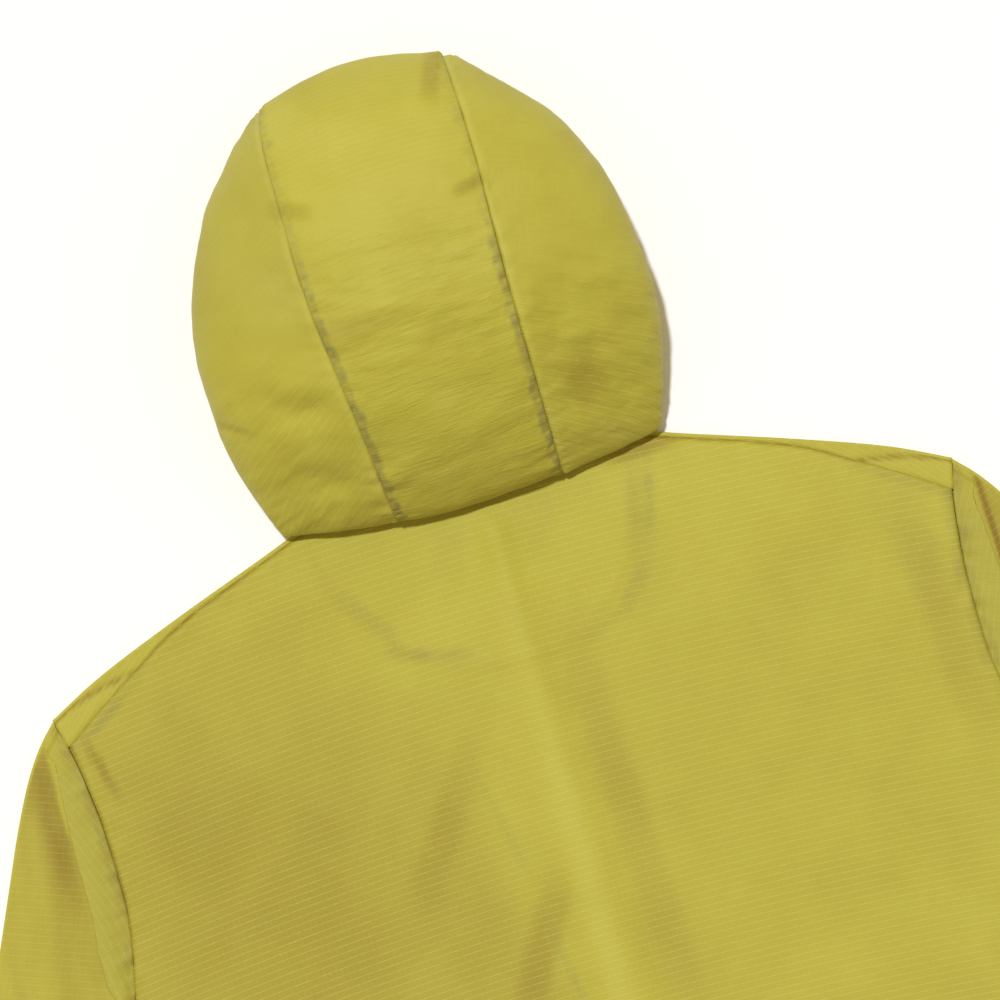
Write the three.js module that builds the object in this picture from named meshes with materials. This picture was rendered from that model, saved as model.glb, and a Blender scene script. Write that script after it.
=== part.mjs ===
// A hooded windbreaker laid flat on its front, back up, with the hood softly filled out.
// Millimetres, +Z up. X runs across the back to the right, +Y from the hem to the hood.
// The cutting frame has Y = 0 at the shoulder points. The whole is then moved so that the
// origin is under the middle of its box. Every cloth piece is a wall round a middle surface.
import * as THREE from "three";

// Cloth
const WALL = 1.0; // thickness of every cloth wall
const SEAM = 0.35; // half-gap kept at a sewn edge
const FLOOR = WALL / 2; // middle height of cloth that lies on the surface
const REST = 2.4; // middle height of the back where it lies on the fronts

// Body
const HEM_Y = -650;
const FOLD_R = 1.5; // roll of the shoulder fold
const SHOULDER_X = 243.5; // where the armhole meets the shoulder fold
const NECK_X = 88; // half-width of the neck hole
const NECK_CORNER_X = 90.5; // where the shoulder seam starts beside it
const NECK_Y = 60.5; // neck hole at the shoulder
const NECK_FRONT_Y = -38; // lowest point of the front neck seam
const NECK_BACK_Y = 57; // back neck seam at the middle

// Zip
const ZIP_X = 4; // the zip line lies a little right of the middle
const ZIP_TOP_Y = 31;
const ZIP_EDGE = 4.6; // from the zip line to the cloth's edge
const CHAIN = { half: 2.5, low: 1.0, high: 3.0 };
const TAPE = { inner: 2.9, outer: 12, low: 1.35, high: 2.35 };
const SLIDER = { half: 3.9, length: 12, plate: 0.7, gap: 0.3, post: 3 };
const PULL = { half: 2.2, length: 34, thick: 0.7 };

// Lists with named columns, for the right half. Each is read with a smooth curve.
const SIDE_EDGE = [
  // y along the side seam, then up the armhole to the shoulder point
  { y: -650, x: 268 },
  { y: -540, x: 267 },
  { y: -420, x: 266.5 },
  { y: -330, x: 265.5 },
  { y: -262, x: 263.5 },
  { y: -240, x: 261.5 },
  { y: -212, x: 257 },
  { y: -180, x: 250 },
  { y: -150, x: 242.5 },
  { y: -123, x: 236.5 },
  { y: -100, x: 233.6 },
  { y: -80, x: 233.4 },
  { y: -60, x: 234 },
  { y: -40, x: 235.7 },
  { y: -20, x: 238.5 },
  { y: 0, x: 243.5 },
];
const UNDERARM = { x: 264.4, y: -262 };
const SHOULDER_FOLD = [
  { x: 88, y: 61.5 },
  { x: 105, y: 55 },
  { x: 168, y: 33 },
  { x: 215, y: 15 },
  { x: 245, y: 0 },
];
const SHOULDER_WRAP = [
  // how far the front comes over the fold before its seam
  { x: 88, wrap: 2.4 },
  { x: 140, wrap: 2.6 },
  { x: 168, wrap: 4 },
  { x: 195, wrap: 9.5 },
  { x: 215, wrap: 13.5 },
  { x: 245, wrap: 19 },
];
const SLEEVE_OUTER = [
  { x: 243.5, y: 0 },
  { x: 253, y: -10 },
  { x: 263, y: -24 },
  { x: 276, y: -48 },
  { x: 290, y: -78 },
  { x: 303, y: -106 },
  { x: 317, y: -135 },
  { x: 345, y: -195 },
  { x: 372, y: -255 },
  { x: 400, y: -318 },
  { x: 430, y: -388 },
  { x: 458, y: -455 },
  { x: 483, y: -520 },
  { x: 505, y: -580 },
];
const SLEEVE_INNER = [
  { x: 264.4, y: -262 },
  { x: 269, y: -300 },
  { x: 274.5, y: -345 },
  { x: 282.5, y: -390 },
  { x: 295, y: -432 },
  { x: 314, y: -475 },
  { x: 339, y: -520 },
  { x: 368.5, y: -568 },
  { x: 400, y: -620 },
];
const PLEAT = [
  // width of the strip between the armhole seam and the pleat's edge, widest 18.5
  { y: -262, wide: 2 },
  { y: -190, wide: 3.5 },
  { y: -150, wide: 10 },
  { y: -123, wide: 15.8 },
  { y: -100, wide: 18.5 },
  { y: -60, wide: 18.3 },
  { y: -20, wide: 13 },
  { y: 0, wide: 6 },
];
const SLEEVE_HIGH = { outer: 3.5, inner: 2.5 }; // middle height of the top layer by each edge
const PLEAT_PROFILE = [
  // rise of the sleeve over the strip and past its edge, by distance in strip widths
  { at: 0, rise: 0.3 },
  { at: 0.5, rise: 1.7 },
  { at: 0.95, rise: 2.8 },
  { at: 1.25, rise: 0.6 },
  { at: 1.8, rise: 0.1 },
  { at: 3, rise: 1.0 },
  { at: 5, rise: 1.5 },
];
const SLEEVE_ROWS = [
  // share of the outer and inner edge, mm of bulge by the underarm, bow of the armhole, rise
  { outer: 0, inner: 0, bulge: 0, bow: 1, rise: 0.3 },
  { outer: 0.006, inner: 0.0006, bulge: 1.5, bow: 1, rise: 0.3 },
  { outer: 0.012, inner: 0.0012, bulge: 3, bow: 1, rise: 0.3 },
  { outer: 0.02, inner: 0.002, bulge: 4.5, bow: 1, rise: 0.3 },
  { outer: 0.03, inner: 0.003, bulge: 6.5, bow: 1, rise: 0.3 },
  { outer: 0.042, inner: 0.0045, bulge: 8.5, bow: 1, rise: 0.3 },
  { outer: 0.056, inner: 0.0065, bulge: 10.5, bow: 1, rise: 0.3 },
  { outer: 0.075, inner: 0.009, bulge: 12.5, bow: 0.97, rise: 0.5 },
  { outer: 0.1, inner: 0.013, bulge: 14.5, bow: 0.9, rise: 0.8 },
  { outer: 0.135, inner: 0.019, bulge: 16, bow: 0.8, rise: 1.2 },
  { outer: 0.18, inner: 0.028, bulge: 17, bow: 0.65, rise: 1.6 },
  { outer: 0.24, inner: 0.042, bulge: 17, bow: 0.45, rise: 1.4 },
  { outer: 0.31, inner: 0.065, bulge: 15, bow: 0.25, rise: 1.2 },
  { outer: 0.39, inner: 0.105, bulge: 11, bow: 0.1, rise: 1.5 },
  { outer: 0.47, inner: 0.17, bulge: 6, bow: 0, rise: 1.1 },
  { outer: 0.55, inner: 0.26, bulge: 2, bow: 0, rise: 1.7 },
  { outer: 0.64, inner: 0.39, bulge: 0, bow: 0, rise: 1.2 },
  { outer: 0.73, inner: 0.53, bulge: 0, bow: 0, rise: 1.5 },
  { outer: 0.82, inner: 0.69, bulge: 0, bow: 0, rise: 1 },
  { outer: 0.91, inner: 0.84, bulge: 0, bow: 0, rise: 1.2 },
  { outer: 1, inner: 1, bulge: 0, bow: 0, rise: 0.8 },
];
const CROWN = 0.7; // below 1 the rise sets in sooner beside the folded edges
const BULGE = { from: 0.5, to: 0.08 }; // share of a row over which the bulge sets in and ends
// The hood, row by row from the neck seam over the crown to the rim of the face opening.
// midY, midZ: middle of the row. wideX, wideY, wideZ: its widest point. layX, layY: where it
// comes down to the surface. rimX, rimY: its end at the zip or the face opening.
// seamL, seamR: the two long seams.
const HOOD_ROWS = [
  { midY: 57, midZ: 4.8, wideX: 88, wideY: 60.5, wideZ: 4.8, layX: 87.2, layY: 60.5,
    rimX: 0, rimY: -38, seamL: 42, seamR: 47 },
  { midY: 49.5, midZ: 12, wideX: 94, wideY: 60.5, wideZ: 9.5, layX: 84, layY: 67,
    rimX: 0, rimY: -18, seamL: 42, seamR: 47 },
  { midY: 48, midZ: 25, wideX: 100, wideY: 58.5, wideZ: 15, layX: 78, layY: 73,
    rimX: 0, rimY: 6, seamL: 42, seamR: 47 },
  { midY: 55, midZ: 42, wideX: 104, wideY: 66, wideZ: 20, layX: 75, layY: 80,
    rimX: 0, rimY: 31, seamL: 43, seamR: 47 },
  { midY: 78, midZ: 61, wideX: 110, wideY: 84, wideZ: 25, layX: 78, layY: 92,
    rimX: 30, rimY: 58, seamL: 45, seamR: 47 },
  { midY: 110, midZ: 77, wideX: 116.5, wideY: 110, wideZ: 30, layX: 85, layY: 113,
    rimX: 60, rimY: 92, seamL: 48, seamR: 47 },
  { midY: 145, midZ: 86, wideX: 118.5, wideY: 140, wideZ: 33, layX: 90, layY: 140,
    rimX: 76, rimY: 128, seamL: 52, seamR: 47 },
  { midY: 182, midZ: 87, wideX: 116, wideY: 172, wideZ: 33, layX: 90, layY: 168,
    rimX: 80, rimY: 162, seamL: 55, seamR: 48 },
  { midY: 216, midZ: 79, wideX: 108, wideY: 202, wideZ: 31, layX: 85, layY: 195,
    rimX: 76, rimY: 190, seamL: 55, seamR: 49 },
  { midY: 246, midZ: 63, wideX: 94, wideY: 230, wideZ: 27, layX: 75, layY: 219,
    rimX: 67, rimY: 212, seamL: 55, seamR: 49 },
  { midY: 268, midZ: 44, wideX: 77, wideY: 251, wideZ: 21, layX: 63, layY: 238,
    rimX: 58, rimY: 225, seamL: 54, seamR: 48.5 },
  { midY: 281, midZ: 26, wideX: 61, wideY: 267, wideZ: 14, layX: 54, layY: 250,
    rimX: 52, rimY: 232, seamL: 52, seamR: 48 },
  { midY: 284, midZ: 12, wideX: 52, wideY: 274, wideZ: 7, layX: 49, layY: 258,
    rimX: 48, rimY: 236, seamL: 50.5, seamR: 48 },
  { midY: 276, midZ: 1.6, wideX: 49, wideY: 265, wideZ: 1.4, layX: 47, layY: 252,
    rimX: 46, rimY: 238.5, seamL: 47.5, seamR: 47.5 },
  { midY: 247, midZ: 0.5, wideX: 47, wideY: 243.5, wideZ: 0.5, layX: 46, layY: 242,
    rimX: 44, rimY: 240, seamL: 45.5, seamR: 45.5 },
];
const HOOD_WIDE = 0.5; // share of a half-row at its widest point
const HOOD_LAY = 0.72; // share of a half-row where it reaches the surface
const HOOD_FULL = 0.86; // below 1 the crown is fuller than an ellipse
const STRAIGHT_ROW = 4; // from this row on, the part on the surface runs straight to the rim
const HOOD_SUB = 2; // rows made between two rows of the list
const HOOD_GAP = 0.2; // half-gap kept at the long seams

// Long soft folds of the back, as ridges from one point to another.
const DRAPE = [
  { x0: -14, y0: -70, x1: -8, y1: -230, high: 0.9, wide: 10 },
  { x0: -236, y0: -150, x1: -140, y1: -350, high: 3.4, wide: 17 },
  { x0: 240, y0: -160, x1: 160, y1: -380, high: 3.8, wide: 18 },
  { x0: -112, y0: -400, x1: -176, y1: -650, high: 4.6, wide: 20 },
  { x0: 88, y0: -380, x1: 136, y1: -650, high: 4.2, wide: 22 },
  { x0: -60, y0: -470, x1: -52, y1: -650, high: 2.6, wide: 16 },
  { x0: 218, y0: -430, x1: 206, y1: -650, high: 3.6, wide: 18 },
];

const RIPSTOP = { color: 0xbeb44c, roughness: 0.55, metalness: 0 };
const TAPE_LOOK = { color: 0xa89f3c, roughness: 0.8, metalness: 0 };
const MOULDED = { color: 0xb4aa46, roughness: 0.4, metalness: 0 };

const mix = (a, b, t) => a + (b - a) * t;
const clamp01 = (t) => Math.min(1, Math.max(0, t));
const smooth = (t) => clamp01(t) ** 2 * (3 - 2 * clamp01(t));
const bell = (t) => Math.exp(-t * t);

// Smooth value of column `col` of a list, at position `at` counted in rows.
function readRow(list, col, at) {
  const last = list.length - 1;
  const i = Math.min(last - 1, Math.max(0, Math.floor(at)));
  const t = at - i;
  const p0 = list[Math.max(0, i - 1)][col];
  const p1 = list[i][col];
  const p2 = list[i + 1][col];
  const p3 = list[Math.min(last, i + 2)][col];
  const m1 = (p2 - p0) / 2;
  const m2 = (p3 - p1) / 2;
  return (
    (2 * t ** 3 - 3 * t ** 2 + 1) * p1 +
    (t ** 3 - 2 * t ** 2 + t) * m1 +
    (3 * t ** 2 - 2 * t ** 3) * p2 +
    (t ** 3 - t ** 2) * m2
  );
}

// Value of column `col` where column `key`, which rises down the list, equals `value`.
function lookUp(list, key, col, value) {
  const last = list.length - 1;
  let i = 0;
  while (i < last - 1 && value > list[i + 1][key]) i += 1;
  const t = clamp01((value - list[i][key]) / (list[i + 1][key] - list[i][key]));
  return mix(list[i][col], list[i + 1][col], t);
}

const sideX = (y) => lookUp(SIDE_EDGE, "y", "x", y);
const foldY = (x) => lookUp(SHOULDER_FOLD, "x", "y", Math.abs(x));
const wrapAt = (x) => lookUp(SHOULDER_WRAP, "x", "wrap", Math.abs(x));

// Middle height of the back at a point of the plan.
function backZ(x, y) {
  const dx = x - ZIP_X;
  const low = smooth(-y / 200);
  const atChin = smooth((y + 25) / 35) * (1 - smooth((y - 34) / 14));
  const past = 1 - smooth((y - 30) / 20);
  const ridge = mix(1.9, 3.3, atChin) * bell(dx / mix(7.5, 12, low)) * past;
  const tape = 0.8 * Math.exp(-((dx / 17) ** 4)) * past;
  const shoulder = 1.1 * smooth((y - foldY(x) + 75) / 50);
  let z = REST + ridge + tape + shoulder;
  for (const f of DRAPE) {
    const ux = f.x1 - f.x0;
    const uy = f.y1 - f.y0;
    const long = Math.hypot(ux, uy);
    const along = ((x - f.x0) * ux + (y - f.y0) * uy) / long;
    const across = ((x - f.x0) * uy - (y - f.y0) * ux) / long;
    const fade = smooth(along / 60) * (1 - (f.y1 > HEM_Y ? smooth((along - long + 60) / 60) : 0));
    z += f.high * fade * bell(across / f.wide);
  }
  return z;
}

// A closed wall round the middle surface `grid`, rows of points. `tube` joins each row's ends.
function wall(grid, tube = false) {
  const rows = grid.length;
  const cols = grid[0].length;
  const at = (i, j) => grid[i][tube ? (j + cols) % cols : Math.min(cols - 1, Math.max(0, j))];
  const row = (i) => Math.min(rows - 1, Math.max(0, i));
  const position = [];
  for (const side of [1, -1]) {
    for (let i = 0; i < rows; i += 1) {
      for (let j = 0; j < cols; j += 1) {
        const along = at(row(i + 1), j).clone().sub(at(row(i - 1), j));
        const across = at(i, j + 1).clone().sub(at(i, j - 1));
        const out = across.cross(along).normalize().multiplyScalar((side * WALL) / 2);
        position.push(...at(i, j).clone().add(out).toArray());
      }
    }
  }
  const id = (side, i, j) => side * rows * cols + i * cols + ((j + cols) % cols);
  const index = [];
  const quad = (a, b, c, d) => index.push(a, b, c, a, c, d);
  const spans = tube ? cols : cols - 1;
  for (let j = 0; j < spans; j += 1) {
    for (let i = 0; i < rows - 1; i += 1) {
      quad(id(0, i, j), id(0, i, j + 1), id(0, i + 1, j + 1), id(0, i + 1, j));
      quad(id(1, i, j), id(1, i + 1, j), id(1, i + 1, j + 1), id(1, i, j + 1));
    }
    quad(id(0, 0, j), id(1, 0, j), id(1, 0, j + 1), id(0, 0, j + 1));
    quad(id(0, rows - 1, j), id(0, rows - 1, j + 1), id(1, rows - 1, j + 1), id(1, rows - 1, j));
  }
  if (!tube) {
    for (let i = 0; i < rows - 1; i += 1) {
      quad(id(0, i, 0), id(0, i + 1, 0), id(1, i + 1, 0), id(1, i, 0));
      const j = cols - 1;
      quad(id(0, i, j), id(1, i, j), id(1, i + 1, j), id(0, i + 1, j));
    }
  }
  const geometry = new THREE.BufferGeometry();
  geometry.setAttribute("position", new THREE.Float32BufferAttribute(position, 3));
  geometry.setIndex(signedVolume(position, index) < 0 ? index.reverse() : index);
  geometry.computeVertexNormals();
  return geometry;
}

// Volume with the sign of the winding, to find which way the faces point.
function signedVolume(position, index) {
  const corner = (k) => new THREE.Vector3().fromArray(position, index[k] * 3);
  let sum = 0;
  for (let k = 0; k < index.length; k += 3) {
    sum += corner(k).dot(corner(k + 1).cross(corner(k + 2))) / 6;
  }
  return sum;
}

// Stations shared by the pieces that meet at a seam, so that their edges stay parallel.
const SHOULDER_STATIONS = [0, 0.2, 0.42, 0.61, 0.78, 0.91, 1]; // from the neck to the armhole
const ARMHOLE_Y = [-262, -240, -212, -180, -150, -123, -100, -80, -60, -40, -20];
const NECK_STATIONS = 6; // spans of the front neck seam, from the shoulder to the zip

// Plan of the shoulder seam on the back, from the neck (s = 0) to the armhole (s = 1).
const seamEndY = foldY(SHOULDER_X) - wrapAt(SHOULDER_X);
function shoulderSeam(s) {
  const x = mix(NECK_CORNER_X, sideX(seamEndY) - SEAM, s);
  return { x, y: foldY(x) - wrapAt(x) };
}

// The back panel: each row runs from side to side, bent up to the neck and shoulder seams.
const NECK_COLUMNS = [-68, -48, -32, -20, -10, -3, 4, 11, 18, 28, 40, 54, 70];
const LOWER_BACK_Y = [-650, -636, -600, -555, -510, -465, -420, -375, -330, -295];
function backPanel() {
  const right = SHOULDER_STATIONS.map(shoulderSeam);
  const left = [...right].reverse().map((p) => ({ x: -p.x, y: p.y }));
  const corner = right[0].y;
  const neck = NECK_COLUMNS.map((x) => ({ x, y: mix(NECK_BACK_Y, corner, (x / NECK_X) ** 2) }));
  const top = [...left, ...neck, ...right];
  const topEdgeY = seamEndY - 2 * SEAM;
  const grid = [...LOWER_BACK_Y, ...ARMHOLE_Y, topEdgeY].map((edgeY) => {
    const w = (edgeY - HEM_Y) / (topEdgeY - HEM_Y);
    const reach = (sideX(edgeY) - SEAM) / right.at(-1).x;
    return top.map((p) => {
      const x = p.x * reach;
      const y = mix(HEM_Y, p.y - 2 * SEAM, w);
      return new THREE.Vector3(x, y, backZ(x, y));
    });
  });
  return wall(grid);
}

// Plan of the front neck seam, from the shoulder (t = 0) to the zip (t = 1).
function neckSeam(side, t, outward) {
  const turn = (t * Math.PI) / 2;
  const rim = side * ZIP_X + ZIP_EDGE;
  const x = mix(NECK_X - 0.8, rim, 1 - Math.cos(turn)) + outward * Math.cos(turn);
  const y = mix(NECK_Y, NECK_FRONT_Y, Math.sin(turn)) - outward * Math.sin(turn);
  return { x, y };
}

// How far the shoulder fold stands off a straight line between its ends.
function foldBow(s) {
  const end = SHOULDER_X - SEAM;
  return foldY(mix(NECK_CORNER_X, end, s)) - mix(foldY(NECK_CORNER_X), foldY(end), s);
}

// A front: flat on the surface, round the shoulder fold, and over to its seam on the back.
const LOWER_FRONT_Y = [-650, -560, -470, -380, -310];
function frontPanel(side) {
  const edgeY = [...LOWER_FRONT_Y, ...ARMHOLE_Y, -FOLD_R];
  const below = edgeY.length - 1 - NECK_STATIONS;
  const grid = edgeY.map((endY, i) => {
    const t = i <= below ? i / below : (i - below) / NECK_STATIONS;
    const left =
      i <= below
        ? { x: side * ZIP_X + ZIP_EDGE, y: mix(HEM_Y, NECK_FRONT_Y - SEAM, t ** 0.8) }
        : t < 1
          ? neckSeam(side, 1 - t, SEAM)
          : { x: NECK_CORNER_X, y: foldY(NECK_CORNER_X) - FOLD_R };
    const right = { x: sideX(endY) - SEAM, y: endY };
    const settle = i <= below ? 0 : t ** 3;
    return SHOULDER_STATIONS.map((s) => {
      const x = mix(left.x, right.x, s);
      const y = mix(left.y, right.y, s) + settle * foldBow(s);
      return new THREE.Vector3(side * x, y, FLOOR);
    });
  });
  for (const degrees of [30, 60, 90, 120, 150, 180]) {
    const turn = (degrees * Math.PI) / 180;
    const down = FOLD_R * (1 - Math.sin(turn));
    grid.push(shoulderRow(side, () => down, (1 - Math.cos(turn)) / 2));
  }
  for (const share of [0.5, 1]) {
    grid.push(shoulderRow(side, (x) => mix(FOLD_R, wrapAt(x), share), 1));
  }
  return wall(grid);
}

// One row of the front along the shoulder fold: how far it lies inside it, and its rise (0 to 1).
function shoulderRow(side, down, rise) {
  return SHOULDER_STATIONS.map((s) => {
    const seam = shoulderSeam(s);
    const foldX = mix(NECK_CORNER_X, SHOULDER_X - SEAM, s);
    const inset = down(foldX);
    const share = inset / wrapAt(foldX);
    const x = mix(foldX, seam.x, share);
    const y = share < 1 ? foldY(foldX) - inset : seam.y;
    return new THREE.Vector3(side * x, y, mix(FLOOR, backZ(seam.x, seam.y), rise));
  });
}

// A point on an edge of the sleeve, by its share of the edge's length.
function edgeCurve(list) {
  return new THREE.CatmullRomCurve3(
    list.map((p) => new THREE.Vector3(p.x, p.y, 0)),
    false,
    "centripetal",
  );
}

// A sleeve: rings from the armhole to the cuff, pressed flat, with the pleat along the armhole.
const ROLL = [0, 45, 90, 135, 180]; // degrees, steps round each folded edge
const SQUARE = { outer: 0.03, inner: 0.0025 }; // share of an edge from which its fold is square
function sleeve(side) {
  const outer = edgeCurve(SLEEVE_OUTER);
  const inner = edgeCurve(SLEEVE_INNER);
  const stations = [...ARMHOLE_Y].reverse().slice(0, -1).map((y) => y / UNDERARM.y);
  const grid = SLEEVE_ROWS.map((r) => {
    const o = outer.getPointAt(r.outer);
    const n = inner.getPointAt(r.inner);
    const atO = outer.getTangentAt(r.outer);
    const atN = inner.getTangentAt(r.inner);
    const ring = n.clone().sub(o).normalize();
    const squareO = new THREE.Vector3(atO.y, -atO.x, 0);
    const squareN = new THREE.Vector3(-atN.y, atN.x, 0);
    const intoO = ring.clone().lerp(squareO, smooth(r.outer / SQUARE.outer)).normalize();
    const intoN = ring.clone().negate().lerp(squareN, smooth(r.inner / SQUARE.inner)).normalize();
    const onRow = (v) => {
      const y = UNDERARM.y * v;
      const bow = sideX(y) - mix(SHOULDER_X, UNDERARM.x, v);
      const bulge = r.bulge * smooth(v / BULGE.from) * smooth((1 - v) / BULGE.to);
      return { x: mix(o.x, n.x, v) + r.bow * bow + bulge + SEAM, y: mix(o.y, n.y, v) };
    };
    const topZ = (v) => {
      const p = onRow(v);
      const past = (p.x - sideX(p.y) - SEAM) / lookUp(PLEAT, "y", "wide", p.y);
      const rise = mix(r.rise, lookUp(PLEAT_PROFILE, "at", "rise", past), r.bow);
      return mix(SLEEVE_HIGH.outer, SLEEVE_HIGH.inner, v) + rise * Math.sin(Math.PI * v) ** CROWN;
    };
    const point = (v, z) => new THREE.Vector3(side * onRow(v).x, onRow(v).y, z);
    const onEdge = (p, into, inset, z) =>
      new THREE.Vector3(side * (p.x + into.x * inset + SEAM), p.y + into.y * inset, z);
    const rollO = (SLEEVE_HIGH.outer - FLOOR) / 2;
    const rollN = (SLEEVE_HIGH.inner - FLOOR) / 2;
    const angles = ROLL.map((degrees) => (degrees * Math.PI) / 180);
    return [
      ...angles.map((a) =>
        onEdge(o, intoO, rollO * (1 - Math.sin(a)), FLOOR + rollO * (1 - Math.cos(a))),
      ),
      ...stations.map((v) => point(v, topZ(v))),
      ...angles.map((a) =>
        onEdge(n, intoN, rollN * (1 - Math.sin(a)), FLOOR + rollN * (1 + Math.cos(a))),
      ),
      ...[...stations].reverse().map((v) => point(v, FLOOR)),
    ];
  });
  return wall(grid, true);
}

// A point of the hood. `at` counts rows of the list; `turn` goes from the middle (0) to the rim (1).
function hoodPoint(side, at, turn) {
  const get = (col) => readRow(HOOD_ROWS, col, at);
  if (turn <= HOOD_WIDE) {
    const a = ((turn / HOOD_WIDE) * Math.PI) / 2;
    const across = Math.sin(a);
    const z = mix(get("wideZ"), get("midZ"), Math.cos(a) ** HOOD_FULL);
    const y = mix(get("midY"), get("wideY"), across ** 2);
    return new THREE.Vector3(side * get("wideX") * across, y, Math.max(FLOOR, z));
  }
  if (turn <= HOOD_LAY) {
    const a = (((turn - HOOD_WIDE) / (HOOD_LAY - HOOD_WIDE)) * Math.PI) / 2;
    const x = mix(get("layX"), get("wideX"), Math.cos(a));
    const y = mix(get("wideY"), get("layY"), Math.sin(a));
    return new THREE.Vector3(side * x, y, Math.max(FLOOR, mix(get("wideZ"), FLOOR, Math.sin(a))));
  }
  const t = (turn - HOOD_LAY) / (1 - HOOD_LAY);
  const a = (t * Math.PI) / 2;
  const straight = clamp01(at / STRAIGHT_ROW);
  const rimX = Math.max(get("rimX"), side * ZIP_X + ZIP_EDGE);
  const x = mix(get("layX"), rimX, mix(1 - Math.cos(a), t, straight));
  const y = mix(get("layY"), get("rimY"), mix(Math.sin(a), t, straight));
  return new THREE.Vector3(side * x, y, FLOOR);
}

// Share of the half-row at which the long seam lies.
function seamTurn(side, at) {
  const x = readRow(HOOD_ROWS, side > 0 ? "seamR" : "seamL", at);
  const wide = readRow(HOOD_ROWS, "wideX", at);
  return (Math.asin(Math.min(1, x / wide)) / (Math.PI / 2)) * HOOD_WIDE;
}
// The same place, moved by the sewing gap towards the panel that asks (1 side, -1 centre).
function seamEdge(side, at, towards) {
  const turn = seamTurn(side, at);
  const step = 0.004;
  const long = hoodPoint(side, at, turn + step).distanceTo(hoodPoint(side, at, turn - step));
  return turn + (towards * HOOD_GAP * 2 * step) / long;
}
const hoodSteps = (last) => Array.from({ length: last * HOOD_SUB + 1 }, (_, k) => k / HOOD_SUB);

const CENTRE_COLS = 10;
function hoodCentre() {
  const grid = hoodSteps(HOOD_ROWS.length - 1).map((at) => {
    const left = -seamEdge(-1, at, -1);
    const right = seamEdge(1, at, -1);
    return Array.from({ length: CENTRE_COLS + 1 }, (_, j) => {
      const turn = mix(left, right, j / CENTRE_COLS);
      return hoodPoint(turn < 0 ? -1 : 1, at, Math.abs(turn));
    });
  });
  return wall(grid);
}

// Columns of a side panel: over the side, round to the surface, and along it to the rim.
const DOME_COLS = 5;
const ROUND_COLS = 3;
const SIDE_LAST_ROW = 12; // the middle panel alone turns under at the brim
function sideTurns(seam) {
  const spans = DOME_COLS + ROUND_COLS + NECK_STATIONS;
  return Array.from({ length: spans + 1 }, (_, j) => {
    const over = mix(seam, HOOD_WIDE, j / DOME_COLS);
    const round = mix(HOOD_WIDE, HOOD_LAY, (j - DOME_COLS) / ROUND_COLS);
    const flat = mix(HOOD_LAY, 1, (j - DOME_COLS - ROUND_COLS) / NECK_STATIONS);
    const turn = j <= DOME_COLS ? over : j <= DOME_COLS + ROUND_COLS ? round : flat;
    return mix(turn, mix(seam, 1, j / spans), smooth((seam - 0.3) / 0.2));
  });
}
function hoodSide(side) {
  const grid = hoodSteps(SIDE_LAST_ROW).map((at) =>
    sideTurns(seamEdge(side, at, 1)).map((turn) => hoodPoint(side, at, turn)),
  );
  return wall(grid);
}

// A box from its lowest to its highest corner.
function block(x0, y0, z0, x1, y1, z1) {
  const box = new THREE.BoxGeometry(x1 - x0, y1 - y0, z1 - z0);
  return box.translate((x0 + x1) / 2, (y0 + y1) / 2, (z0 + z1) / 2);
}

const chainTopY = ZIP_TOP_Y - SLIDER.post - SLIDER.gap;
const zipTape = (side) =>
  side > 0
    ? block(ZIP_X + TAPE.inner, HEM_Y, TAPE.low, ZIP_X + TAPE.outer, chainTopY, TAPE.high)
    : block(ZIP_X - TAPE.outer, HEM_Y, TAPE.low, ZIP_X - TAPE.inner, chainTopY, TAPE.high);

// The slider seen from the side is a C: two plates round the chain, and the post above it.
function slider() {
  const y1 = ZIP_TOP_Y;
  const y0 = y1 - SLIDER.length;
  const low = CHAIN.low - SLIDER.gap;
  const high = CHAIN.high + SLIDER.gap;
  const outline = new THREE.Shape([
    new THREE.Vector2(y0, low - SLIDER.plate),
    new THREE.Vector2(y1, low - SLIDER.plate),
    new THREE.Vector2(y1, high + SLIDER.plate),
    new THREE.Vector2(y0, high + SLIDER.plate),
    new THREE.Vector2(y0, high),
    new THREE.Vector2(y1 - SLIDER.post, high),
    new THREE.Vector2(y1 - SLIDER.post, low),
    new THREE.Vector2(y0, low),
  ]);
  const body = new THREE.ExtrudeGeometry(outline, { depth: 2 * SLIDER.half, bevelEnabled: false });
  // The outline's x is the garment's Y and its y is Z, so the extrusion runs along X.
  const turn = new THREE.Matrix4().makeBasis(
    new THREE.Vector3(0, 1, 0),
    new THREE.Vector3(0, 0, 1),
    new THREE.Vector3(1, 0, 0),
  );
  return body.applyMatrix4(turn).translate(ZIP_X - SLIDER.half, 0, 0);
}

const chain = () =>
  block(ZIP_X - CHAIN.half, HEM_Y, CHAIN.low, ZIP_X + CHAIN.half, chainTopY, CHAIN.high);
const pull = () => {
  const y1 = ZIP_TOP_Y - SLIDER.length - SLIDER.gap;
  return block(ZIP_X - PULL.half, y1 - PULL.length, 0, ZIP_X + PULL.half, y1, PULL.thick);
};

const jacket = new THREE.Group();
function add(name, geometry, look) {
  const mesh = new THREE.Mesh(geometry, new THREE.MeshStandardMaterial(look));
  mesh.name = name;
  jacket.add(mesh);
}
add("back", backPanel(), RIPSTOP);
add("front_right", frontPanel(1), RIPSTOP);
add("front_left", frontPanel(-1), RIPSTOP);
add("sleeve_right", sleeve(1), RIPSTOP);
add("sleeve_left", sleeve(-1), RIPSTOP);
add("hood_centre", hoodCentre(), RIPSTOP);
add("hood_right", hoodSide(1), RIPSTOP);
add("hood_left", hoodSide(-1), RIPSTOP);
add("zip_tape_right", zipTape(1), TAPE_LOOK);
add("zip_tape_left", zipTape(-1), TAPE_LOOK);
add("zip_chain", chain(), MOULDED);
add("zip_slider", slider(), MOULDED);
add("zip_pull", pull(), TAPE_LOOK);

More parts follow.
